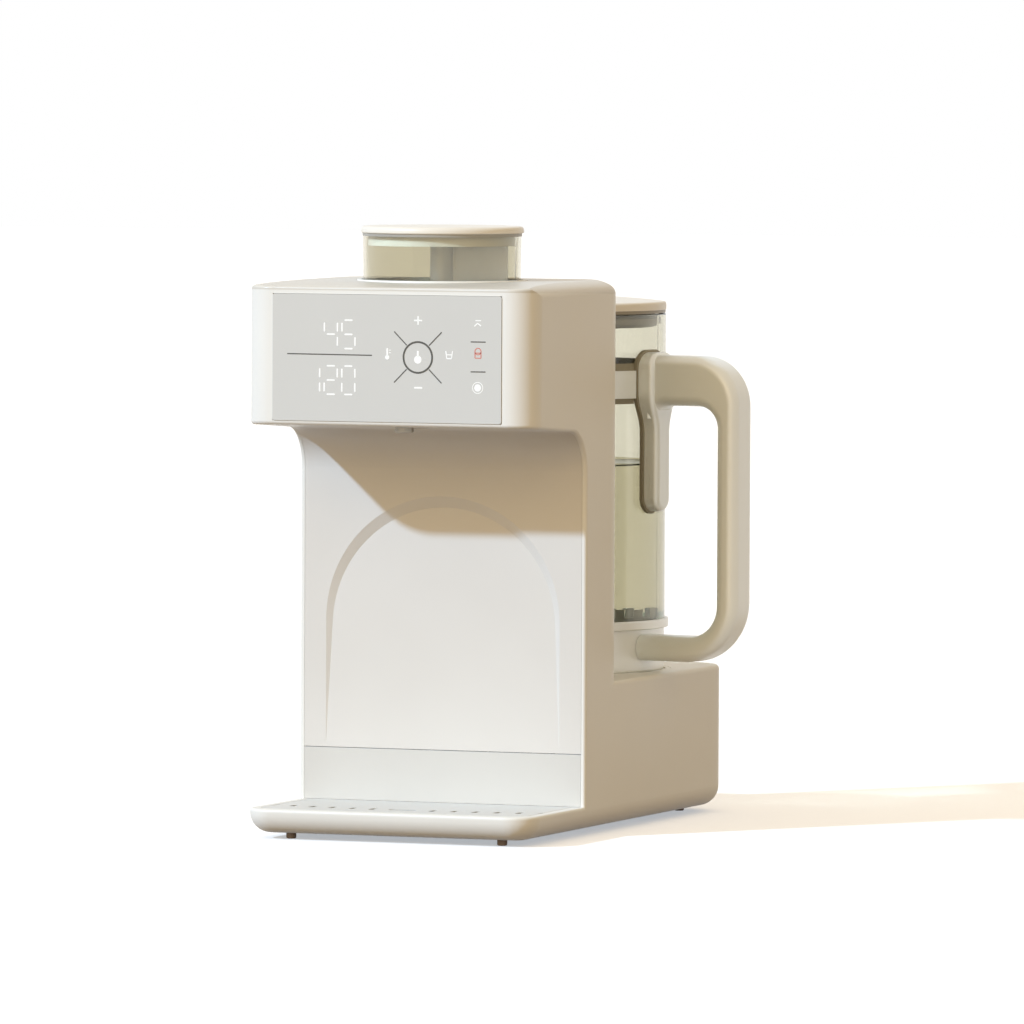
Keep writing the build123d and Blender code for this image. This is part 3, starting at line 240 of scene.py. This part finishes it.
def rubber(name, colour, roughness=0.75):
    """Moulded rubber: matt, faintly mottled where it has been handled."""
    material, tree = empty_material(name)
    place = own_place(tree)
    bloom = noise(tree, place, 4, detail=4.0)
    grain = noise(tree, place, 0.8)
    base = rgb(colour)
    greyed = [min(1.0, c * 1.25 + 0.004) for c in base[:3]] + [1.0]
    principled(tree, {"Base Color": two_tone(tree, bloom, base, greyed), "Roughness": roughness, "IOR": 1.5,
                      "Normal": relief(tree, grain, 0.4, 0.04)})
    return material


finish(rubber("grey_brown_moulded_rubber", "#8E8079"), "rubber_feet")


def metal(name, colour, roughness, streak_mm=0.3, along="X", stretch=30.0, depth_mm=0.004):
    """Bare or plated metal. Fine streaks run along one axis, as rolling or brushing leaves them."""
    material, tree = empty_material(name)
    scale = [1.0 / stretch if axis == along else 1.0 for axis in "XYZ"]
    laid = add_node(tree, "ShaderNodeMapping", {"Vector": own_place(tree), "Scale": scale}).outputs[0]
    streaks = noise(tree, laid, streak_mm, detail=3.0)
    base = rgb(colour)
    rough = spread(tree, streaks, roughness * 0.75, roughness * 1.25, 0.2, 0.8)
    principled(tree, {"Base Color": two_tone(tree, streaks, darker(base, 0.82), base), "Metallic": 1.0,
                      "Roughness": rough, "Normal": relief(tree, streaks, 0.5, depth_mm)})
    return material


def deselect_all():
    if bpy.context.object and bpy.context.object.mode != "OBJECT":
        bpy.ops.object.mode_set(mode="OBJECT")
    bpy.ops.object.select_all(action="DESELECT")


def settle(piece, name, material, body):
    """Puts the piece's place into its mesh, names it and fixes it to its body."""
    deselect_all()
    piece.select_set(True)
    bpy.context.view_layer.objects.active = piece
    bpy.ops.object.transform_apply(location=True, rotation=True, scale=True)
    piece.name = name
    piece.data.name = name
    piece.data.materials.clear()
    piece.data.materials.append(material)
    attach(piece, body)


def edit_faces(piece, chosen):
    """Enters edit mode with only the faces selected for which chosen gives true."""
    bpy.ops.object.mode_set(mode="EDIT")
    bpy.ops.mesh.select_mode(type="FACE")
    bpy.ops.mesh.select_all(action="DESELECT")
    bpy.ops.object.mode_set(mode="OBJECT")
    for face in piece.data.polygons:
        face.select = chosen(face)
    bpy.ops.object.mode_set(mode="EDIT")


def cut_away(piece, cutters):
    """Takes the cutters' shapes out of the piece and removes them."""
    for cutter in cutters:
        deselect_all()
        bpy.context.view_layer.objects.active = piece
        trim = piece.modifiers.new("cut", "BOOLEAN")
        trim.operation = "DIFFERENCE"
        trim.solver = "EXACT"
        trim.object = cutter
        bpy.ops.object.modifier_apply(modifier=trim.name)
        bpy.data.objects.remove(cutter)


def join_all(parts):
    """Makes one object of the parts, under the first one's name."""
    deselect_all()
    for part in parts:
        part.select_set(True)
    bpy.context.view_layer.objects.active = parts[0]
    if len(parts) > 1:
        bpy.ops.object.join()
    return parts[0]


def join_copies(piece, places):
    """Copies of the piece at each place, joined into one object. The piece itself goes."""
    copies = []
    for place in places:
        twin = piece.copy()
        twin.data = piece.data.copy()
        twin.location = Vector(place)
        bpy.context.collection.objects.link(twin)
        copies.append(twin)
    bpy.data.objects.remove(piece)
    return join_all(copies)


zinc = metal("zinc_plated_steel", "#B9BBB9", 0.38, streak_mm=0.6, stretch=3.0)
head_radius, shank_radius, head_height, head_round = 0.0027, 0.0012, 0.0011, 0.0005
recess_blade = (0.0030, 0.00062, 0.0013)
screw_x, screw_rows = 0.065, (-0.0495, 0.038, 0.1255)
low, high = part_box("base_screws")
deselect_all()
bpy.ops.mesh.primitive_cylinder_add(vertices=40, radius=head_radius, depth=head_height, location=(0, 0, 0))
screw = bpy.context.object
edit_faces(screw, lambda face: face.normal.z > 0.9)
bpy.ops.mesh.inset(thickness=head_radius - shank_radius)
bpy.ops.mesh.extrude_region_move(TRANSFORM_OT_translate={"value": (0, 0, high.z - low.z - head_height)})
edit_faces(screw, lambda face: face.normal.z < -0.9 and face.center.z < -0.0001)
bpy.ops.mesh.bevel(offset=head_round, segments=4, profile=0.6)
bpy.ops.object.mode_set(mode="OBJECT")
cutters = []
for angle in (0, 90):
    bpy.ops.mesh.primitive_cube_add(size=1, location=(0, 0, -head_height / 2),
                                    rotation=(0, 0, math.radians(angle)))
    blade = bpy.context.object
    blade.scale = recess_blade
    cutters.append(blade)
cut_away(screw, cutters)
spots = [(side * screw_x, y, low.z + head_height / 2) for y in screw_rows for side in (-1, 1)]
screws = join_copies(screw, spots)
bpy.ops.object.shade_smooth_by_angle(angle=math.radians(35))
settle(screws, "base_screw_set", zinc, "machine")
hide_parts("base_screws")

# ---------------------------------------------------------------- drive train
# A geared motor hangs below a zinc-plated plate. Its brass pinion turns a large acetal gear on a
# steel stud, and a polypropylene chute carries the measured powder to the front of the head.

acetal = moulded_plastic("natural_acetal", "#E8E6DF", roughness=0.3, grain_mm=1.2, grain_depth_mm=0.004)
finish(metal("brushed_zinc_plated_plate", "#C3C4C0", 0.34), "motor_plate")
finish(zinc, "gear_motor")
finish(metal("turned_brass", "#D7B26A", 0.25, stretch=6.0, along="Z"), "motor_pinion", "inlet_pins")
finish(acetal, "drive_gear", "dosing_wheel")
white_pp = moulded_plastic("moulded_polypropylene_white", "#EDECE7", roughness=0.38)
finish(white_pp, "powder_chute", "canister_base", "outlet_port", "outlet_tube")

# ---------------------------------------------------------------- water path
# A black nylon diaphragm pump stands in a grey rubber cup. Clear silicone hoses lead from the water
# port to the pump and from the pump up the column to a stainless nozzle.

pump_nylon = moulded_plastic("glass_filled_nylon_black", "#1E1E1D", roughness=0.5, grain_mm=0.7,
                             grain_depth_mm=0.03)
finish(pump_nylon, "water_pump")
finish(rubber("grey_silicone_rubber", "#77756C"), "pump_cradle", "valve_poppet")


def translucent(name, colour, roughness, clear):
    """Soft cloudy plastic or silicone that lets some light through."""
    material, tree = empty_material(name)
    cloud = noise(tree, own_place(tree), 9, detail=3.0)
    base = rgb(colour)
    principled(tree, {"Base Color": two_tone(tree, cloud, darker(base, 0.93), base),
                      "Roughness": spread(tree, cloud, roughness * 0.85, roughness * 1.15), "IOR": 1.43,
                      "Transmission Weight": clear})
    return material


finish(translucent("clear_silicone_tube", "#E6E6DF", 0.3, 0.55), "suction_hose", "riser_hose")
finish(translucent("pale_grey_silicone_seal", "#BFBBB2", 0.35, 0.25), "port_seal", "lid_seal")
finish(translucent("taupe_silicone_gasket", "#A69A85", 0.4, 0.1), "glass_seal", "lid_gasket")
stainless = metal("turned_stainless_steel", "#938C80", 0.4, streak_mm=0.25, along="Z", stretch=0.2)
finish(stainless, "water_nozzle", "push_rod")
finish(metal("coil_frame_steel", "#9C9D9B", 0.4), "valve_solenoid")

# ---------------------------------------------------------------- electric parts
# The boards are green glass-epoxy laminate under a glossy solder resist. The mains inlet and both
# halves of the cordless connector are black flame-retardant nylon.

laminate, tree = empty_material("green_glass_epoxy_laminate")
cloth = add_node(tree, "ShaderNodeTexVoronoi", {"Vector": own_place(tree), "Scale": 1000 / 2.4},
                 distance="CHEBYCHEV")
tracks = two_tone(tree, cloth.outputs["Distance"], rgb("#1F5A38"), rgb("#2F7A4C"), end=0.5)
principled(tree, {"Base Color": tracks, "Roughness": 0.3, "IOR": 1.55, "Coat Weight": 0.3})
finish(laminate, "touch_board", "control_board")
inlet_nylon = moulded_plastic("flame_retardant_nylon_black", "#1B1B1B", roughness=0.42, grain_mm=0.8,
                              grain_depth_mm=0.02)
finish(inlet_nylon, "power_inlet", "coupler_base", "kettle_coupler")
finish(pump_nylon, "board_parts")

# ---------------------------------------------------------------- splash panel and lower panel
# Both are moulded in a greyer white than the body and clip in from the front. The arch in the upper
# one is moulded with it, so its edge is soft.

panel_abs = moulded_plastic("moulded_abs_cool_white", "#E4E1DB", roughness=0.4)
finish(panel_abs, "splash_panel")
lower_abs = moulded_plastic("moulded_abs_grey_white", "#D9D7D1", roughness=0.4)
finish(lower_abs, "lower_front_panel")

# ---------------------------------------------------------------- head cover and lids
# The crowned cover of the head is the same ABS as the body, polished a little more. Its colour is darker
# than the body's as painted shade against the light on the top. The two lids come from a creamier batch,
# and each lifts off by its rim.

# The cover's colour is darker than the body's white: painted shade that keeps the lit top as bright as the
# front.
cover_abs_painted_shade = moulded_plastic("polished_abs_cream_painted_shade", "#E0DCD2", roughness=0.36, grain_depth_mm=0.006)
finish(cover_abs_painted_shade, "head_top_cover")
lid_abs = moulded_plastic("polished_abs_lid_cream", "#F4EFE4", roughness=0.34, grain_depth_mm=0.006)
finish(lid_abs, "canister_lid", "kettle_lid")

# ---------------------------------------------------------------- touch plate
# A pale acrylic plate is printed from behind. Its grey lines are ink, and the white figures and
# signs are windows in the print that light up.

acrylic_ior = 1.49
plate_acrylic, tree = empty_material("back_printed_acrylic")
place = own_place(tree)
haze = two_tone(tree, noise(tree, place, 45), rgb("#D7D8D5"), rgb("#DBDCD9"))
principled(tree, {"Base Color": haze, "Roughness": 0.2, "IOR": acrylic_ior,
                  "Normal": relief(tree, noise(tree, place, 12), 0.1, 0.02)})
finish(plate_acrylic, "touch_plate")

ink, tree = empty_material("screen_printed_grey_ink")
mesh_marks = two_tone(tree, noise(tree, own_place(tree), 0.9), rgb("#4A4B49"), rgb("#5C5D5A"))
principled(tree, {"Base Color": mesh_marks, "Roughness": 0.25, "IOR": acrylic_ior})


def lit_window(name, colour, strength):
    """Diffusing window in the print with a small lamp behind it, slightly uneven."""
    material, tree = empty_material(name)
    base = rgb(colour)
    tint = two_tone(tree, noise(tree, own_place(tree), 3.0), darker(base, 0.94), base)
    principled(tree, {"Base Color": tint, "Roughness": 0.25, "IOR": acrylic_ior, "Emission Color": tint,
                      "Emission Strength": strength})
    return material


white_light = lit_window("white_lit_window", "#F1F3F2", 0.25)
red_light = lit_window("red_lit_window", "#D08277", 0.15)
print_depth = 0.00008
print_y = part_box("touch_plate")[0].y - print_depth / 2
facing = (math.radians(90), 0, 0)


def bar(x0, z0, x1, z1, width, tip=0.0):
    """Printed stroke from one point to another in millimetres, its ends tapered by tip."""
    deselect_all()
    bpy.ops.mesh.primitive_cube_add(size=1, location=(0, 0, 0))
    stroke = bpy.context.object
    stroke.scale = (math.hypot(x1 - x0, z1 - z0) / 1000, print_depth, width / 1000)
    bpy.ops.object.transform_apply(location=False, rotation=False, scale=True)
    bpy.ops.object.mode_set(mode="EDIT")
    bpy.ops.mesh.select_all(action="DESELECT")
    bpy.ops.mesh.select_mode(type="EDGE")
    bpy.ops.object.mode_set(mode="OBJECT")
    for edge in stroke.data.edges:
        a, b = (stroke.data.vertices[i].co for i in edge.vertices)
        edge.select = abs(a.x - b.x) < 1e-6 and abs(a.z - b.z) < 1e-6
    bpy.ops.object.mode_set(mode="EDIT")
    bpy.ops.mesh.bevel(offset=max(tip, width * 0.18) / 1000, segments=1 if tip else 3)
    bpy.ops.object.mode_set(mode="OBJECT")
    stroke.rotation_euler = (0, -math.atan2(z1 - z0, x1 - x0), 0)
    stroke.location = ((x0 + x1) / 2000, print_y, (z0 + z1) / 2000)
    bpy.ops.object.transform_apply(location=True, rotation=True, scale=False)
    return stroke


def bars(*strokes):
    return [bar(*stroke) for stroke in strokes]


def hoop(x, z, radius, width):
    """Printed ring."""
    deselect_all()
    bpy.ops.mesh.primitive_cylinder_add(vertices=64, radius=(radius + width / 2) / 1000, depth=print_depth,
                                        rotation=facing)
    loop = bpy.context.object
    bpy.ops.mesh.primitive_cylinder_add(vertices=64, radius=(radius - width / 2) / 1000,
                                        depth=print_depth * 3, rotation=facing)
    cut_away(loop, [bpy.context.object])
    loop.location = (x / 1000, print_y, z / 1000)
    return loop


def dot(x, z, radius):
    """Printed spot with a soft edge."""
    deselect_all()
    bpy.ops.mesh.primitive_cylinder_add(vertices=32, radius=radius / 1000, depth=print_depth, rotation=facing,
                                        location=(x / 1000, print_y, z / 1000))
    spot = bpy.context.object
    bpy.ops.object.mode_set(mode="EDIT")
    bpy.ops.mesh.bevel(offset=print_depth * 0.3, segments=2)
    bpy.ops.object.mode_set(mode="OBJECT")
    return spot


digit_width, digit_height, digit_gap = 7.4, 15.0, 2.6
stroke_width, stroke_gap, stroke_tip = 0.85, 1.25, 0.4
segments = {"a": (0, 2, 1, 2), "b": (1, 1, 1, 2), "c": (1, 0, 1, 1), "d": (0, 0, 1, 0), "e": (0, 0, 0, 1),
            "f": (0, 1, 0, 2), "g": (0, 1, 1, 1)}
lit = {"0": "abcdef", "1": "bc", "2": "abdeg", "4": "bcfg", "5": "acdfg"}
strokes = []
for text, right, bottom in (("45", -17.8, 257.8), ("120", -17.8, 233.6)):
    for i, figure in enumerate(reversed(text)):
        left = right - digit_width - i * (digit_width + digit_gap)
        for name in lit[figure]:
            x0, z0, x1, z1 = segments[name]
            xa, xb = left + x0 * digit_width, left + x1 * digit_width
            za, zb = bottom + z0 * digit_height / 2, bottom + z1 * digit_height / 2
            gap = stroke_gap / math.hypot(xb - xa, zb - za)
            strokes.append(bar(xa + (xb - xa) * gap, za + (zb - za) * gap,
                               xb - (xb - xa) * gap, zb - (zb - za) * gap, stroke_width, tip=stroke_tip))
settle(join_all(strokes), "display_figures", white_light, "machine")

line_width = 0.6
dial_x, dial_z = 17.8, 253.8
dial_radius, dial_width, ray_start, ray_end = 8.1, 1.0, 8.9, 19.0
lines = [bar(-56.4, 254.7, -8.2, 254.5, line_width), hoop(dial_x, dial_z, dial_radius, dial_width)]
for angle in (45, 135, 225, 315):
    cos, sin = math.cos(math.radians(angle)), math.sin(math.radians(angle))
    lines.append(bar(dial_x + ray_start * cos, dial_z + ray_start * sin,
                     dial_x + ray_end * cos, dial_z + ray_end * sin, line_width))
lines += [bar(47.6, z, 56.0, z, line_width) for z in (262.4, 246.7)]
settle(join_all(lines), "printed_lines", ink, "machine")

plus = bars((15.6, 273.2, 20.2, 273.2, 0.8), (17.9, 270.9, 17.9, 275.5, 0.8))
minus = bars((15.8, 237.8, 20.4, 237.8, 0.9))
thermometer = [bar(0.5, 254.2, 0.5, 258.4, 0.9), dot(0.5, 253.6, 1.2)]
marks = bars((1.5, 256.0, 2.6, 256.0, 0.4), (1.5, 257.4, 2.6, 257.4, 0.4))
beaker = bars((33.6, 257.4, 34.2, 253.4, 0.6), (37.4, 257.4, 36.8, 253.4, 0.6),
              (34.2, 253.4, 36.8, 253.4, 0.6), (34.0, 255.4, 37.0, 255.4, 0.5))
droplet = [dot(17.8, 252.6, 2.1), bar(17.8, 254.0, 17.8, 257.2, 1.1)]
button = [dot(51.6, 238.3, 1.9), hoop(51.6, 238.3, 2.9, 0.35)]
arrow = bars((49.6, 270.6, 51.4, 272.2, 0.6), (51.4, 272.2, 53.4, 270.8, 0.6),
             (50.2, 273.6, 53.4, 273.6, 0.5))
signs = join_all(plus + minus + thermometer + marks + beaker + droplet + button + arrow)
settle(signs, "touch_signs", white_light, "machine")

shackle = hoop(51.7, 257.4, 1.7, 0.5)
case = bars((50.0, 254.0, 50.0, 256.9, 0.5), (53.4, 254.0, 53.4, 256.9, 0.5),
            (50.0, 253.9, 53.4, 253.9, 0.5), (50.0, 256.6, 53.4, 256.6, 0.5))
settle(join_all([shackle] + case), "lock_sign", red_light, "machine")

# ---------------------------------------------------------------- drip tray and grid
# The shallow pan and its flush grid lift out to be washed. The pan is moulded in a darker grey, and
# the walls of the slots are painted dark as painted shade, for the shadow deep inside them.

grid_pp = moulded_plastic("moulded_polypropylene_grid_white", "#E3E3DF", roughness=0.44)
finish(grid_pp, "drip_grid")
tree = grid_pp.node_tree
grid_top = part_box("drip_grid")[1].z
# The slot walls turn dark grey below the top of the grid: painted shade for the shadow inside the slots.
shade_start, shade_full = 0.0002, 0.0006
height = add_node(tree, "ShaderNodeSeparateXYZ", {0: own_place(tree)})
below = spread(tree, height.outputs["Z"], 1.0, 0.0, grid_top - shade_full, grid_top - shade_start)
skin = next(node for node in tree.nodes if node.type == "BSDF_PRINCIPLED")
unshaded_colour = skin.inputs["Base Color"].links[0].from_socket
slot_shade = add_node(tree, "ShaderNodeMix", {0: below, 6: unshaded_colour, 7: rgb("#5E5B54")}, data_type="RGBA")
tree.links.new(slot_shade.outputs[2], skin.inputs["Base Color"])
tray_pp = moulded_plastic("moulded_polypropylene_tray_grey", "#8B8981", roughness=0.44)
finish(tray_pp, "drip_tray")

# ---------------------------------------------------------------- powder canister
# The drum is clear copolyester, injection moulded, with faint flow lines round it. The stirrer in it
# is cloudier and slightly lilac.


def let_lamps_through(tree, skin):
    """Closes the tree so that what is inside is lit by the lamps, as it is behind real glass."""
    lit = add_node(tree, "ShaderNodeBsdfTransparent")
    shadow = add_node(tree, "ShaderNodeLightPath").outputs["Is Shadow Ray"]
    both = add_node(tree, "ShaderNodeMixShader", {0: shadow, 1: skin.outputs[0], 2: lit.outputs[0]})
    add_node(tree, "ShaderNodeOutputMaterial", {"Surface": both.outputs[0]})


def clear_wall(name, colour, ior, ripple_mm, depth_mm, roughness=0.02):
    """Clear solid wall: smooth, with the long faint waves that forming leaves."""
    material, tree = empty_material(name)
    place = own_place(tree)
    laid = add_node(tree, "ShaderNodeMapping", {"Vector": place, "Scale": (1.0, 1.0, 0.25)}).outputs[0]
    waves = noise(tree, laid, ripple_mm, detail=1.0)
    film = noise(tree, place, 3, detail=4.0)
    skin = add_node(tree, "ShaderNodeBsdfPrincipled", {
        "Base Color": rgb(colour), "Roughness": spread(tree, film, roughness * 0.5, roughness * 2, 0.45, 0.8),
        "IOR": ior, "Transmission Weight": 1.0, "Normal": relief(tree, waves, 0.6, depth_mm)})
    let_lamps_through(tree, skin)
    return material


finish(clear_wall("clear_copolyester", "#D3CFBE", 1.54, 14.0, 0.02), "powder_canister")
stirrer_plastic = moulded_plastic("cloudy_lilac_copolyester", "#F4F4FF", roughness=0.3, grain_depth_mm=0.004,
                                  coat=1.0, coat_ior=2.4, coat_roughness=0.25)
finish(stirrer_plastic, "powder_stirrer")

# ---------------------------------------------------------------- kettle body
# A drawn borosilicate cylinder with an amber tint stands on a moulded cup, and is half full of water.
# The floor is a stainless plate with a tube heater pressed on below, and a white crown keeps scale
# away from the outlet.

kettle_wall = clear_wall("drawn_borosilicate_glass", "#FCFCFA", 1.47, 30.0, 0.03)
tree = kettle_wall.node_tree
amber = add_node(tree, "ShaderNodeVolumeAbsorption", {"Color": rgb("#918900"), "Density": 120.0})
tree.links.new(amber.outputs[0], tree.nodes["Material Output"].inputs["Volume"])
finish(kettle_wall, "kettle_glass")
cup_pp = moulded_plastic("moulded_polypropylene_stone_white", "#F4F7F5", roughness=0.4, coat=1.0,
                         coat_ior=2.4, coat_roughness=0.4)
finish(cup_pp, "base_cup", "lower_ring")
finish(metal("brushed_stainless_plate", "#BDBCB7", 0.28), "heating_plate")
finish(metal("annealed_heater_tube", "#7E7A73", 0.5, streak_mm=1.5, stretch=2.0), "heating_element")
crown_pp = moulded_plastic("moulded_polypropylene_crown", "#FAFAF7", roughness=0.3, coat=1.0, coat_ior=2.0)
finish(crown_pp, "outlet_strainer")

water, tree = empty_material("drinking_water")
ripples = relief(tree, noise(tree, own_place(tree), 35), 0.3, 0.2)
clear = add_node(tree, "ShaderNodeBsdfPrincipled", {
    "Base Color": rgb("#D9D4C1"), "Roughness": 0.0, "IOR": 1.333, "Transmission Weight": 1.0,
    "Normal": ripples})
let_lamps_through(tree, clear)

glass_wall, wetting, floor_gap = 0.0025, 0.00005, 0.0001
water_level = 0.191
meniscus = ((0.0003, 0.0005), (0.0006, 0.0004), (0.0012, 0.0002))
glass_low, glass_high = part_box("kettle_glass")
axis = (glass_low + glass_high) / 2
bore = (glass_high.x - glass_low.x) / 2 - glass_wall
plate_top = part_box("heating_plate")[1].z
deselect_all()
bpy.ops.mesh.primitive_cylinder_add(vertices=160, radius=bore + wetting,
                                    depth=water_level - plate_top - floor_gap,
                                    location=(axis.x, axis.y, (water_level + plate_top) / 2))
charge = bpy.context.object
edit_faces(charge, lambda face: face.normal.z > 0.9)
for step, drop in meniscus:
    bpy.ops.mesh.inset(thickness=step)
    bpy.ops.transform.translate(value=(0, 0, -drop))
bpy.ops.object.mode_set(mode="OBJECT")
bpy.ops.object.shade_smooth_by_angle(angle=math.radians(40))
settle(charge, "kettle_water", water, "kettle")

# ---------------------------------------------------------------- valve spring
# A light coil of stainless spring wire keeps the kettle's valve shut. Its upper end rests on the
# crown's spigot, and the push rod shortens it as it lifts the valve.

wire_radius, turns = 0.00035, 6
low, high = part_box("poppet_spring")
middle = (low + high) / 2
length = high.z - low.z
coil_radius = (high.x - low.x) / 2 - wire_radius
deselect_all()
bpy.ops.mesh.primitive_circle_add(vertices=10, radius=wire_radius, location=(coil_radius, 0, 0),
                                  rotation=(math.radians(90), 0, 0))
coil = bpy.context.object
bpy.ops.object.transform_apply(location=True, rotation=True, scale=True)
winding = coil.modifiers.new("winding", "SCREW")
winding.axis = "Z"
winding.angle = math.radians(360)
winding.screw_offset = (length - 2 * wire_radius) / turns
winding.iterations = turns
winding.steps = 32
winding.render_steps = 32
bpy.ops.object.modifier_apply(modifier=winding.name)
bpy.ops.object.mode_set(mode="EDIT")
bpy.ops.mesh.select_mode(type="EDGE")
bpy.ops.mesh.select_all(action="SELECT")
bpy.ops.mesh.remove_doubles(threshold=0.000001)
bpy.ops.mesh.select_all(action="DESELECT")
bpy.ops.mesh.select_non_manifold()
bpy.ops.mesh.edge_face_add()
bpy.ops.mesh.select_all(action="SELECT")
bpy.ops.mesh.normals_make_consistent(inside=False)
bpy.ops.object.mode_set(mode="OBJECT")
coil.location = (middle.x, middle.y, low.z + wire_radius)
settle(coil, "valve_spring", stainless, "kettle")
bpy.ops.object.shade_smooth_by_angle(angle=math.radians(60))
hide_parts("poppet_spring")
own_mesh(coil)

# ---------------------------------------------------------------- kettle handle and band
# The grip is a thick pale grey polypropylene moulding with a satin skin. Its colour is lighter and cooler
# than that grey, as painted light for the light that the head's shadow keeps off it. A band of the same
# plastic clamps it to the glass over a darker rubber strip.

# The grip's colour is lighter and cooler than its grey plastic: painted light.
grip_pp_painted_light = moulded_plastic("satin_polypropylene_grey_painted_light", "#F3F9F8", roughness=0.4, grain_depth_mm=0.01,
                          coat=1.0, coat_ior=2.4, coat_roughness=0.4)
finish(grip_pp_painted_light, "handle", "handle_band")
finish(rubber("olive_grey_rubber", "#8E8876", roughness=0.6), "handle_pad", "band_liner")
finish(zinc, "handle_screws")

# ---------------------------------------------------------------- kettle lid plug
# Under the cream lid a darker plug drops into the neck of the glass. It is a polypropylene moulding
# that carries the lid's gasket.

finish(moulded_plastic("moulded_polypropylene_taupe", "#9A907C", roughness=0.4), "lid_plug")
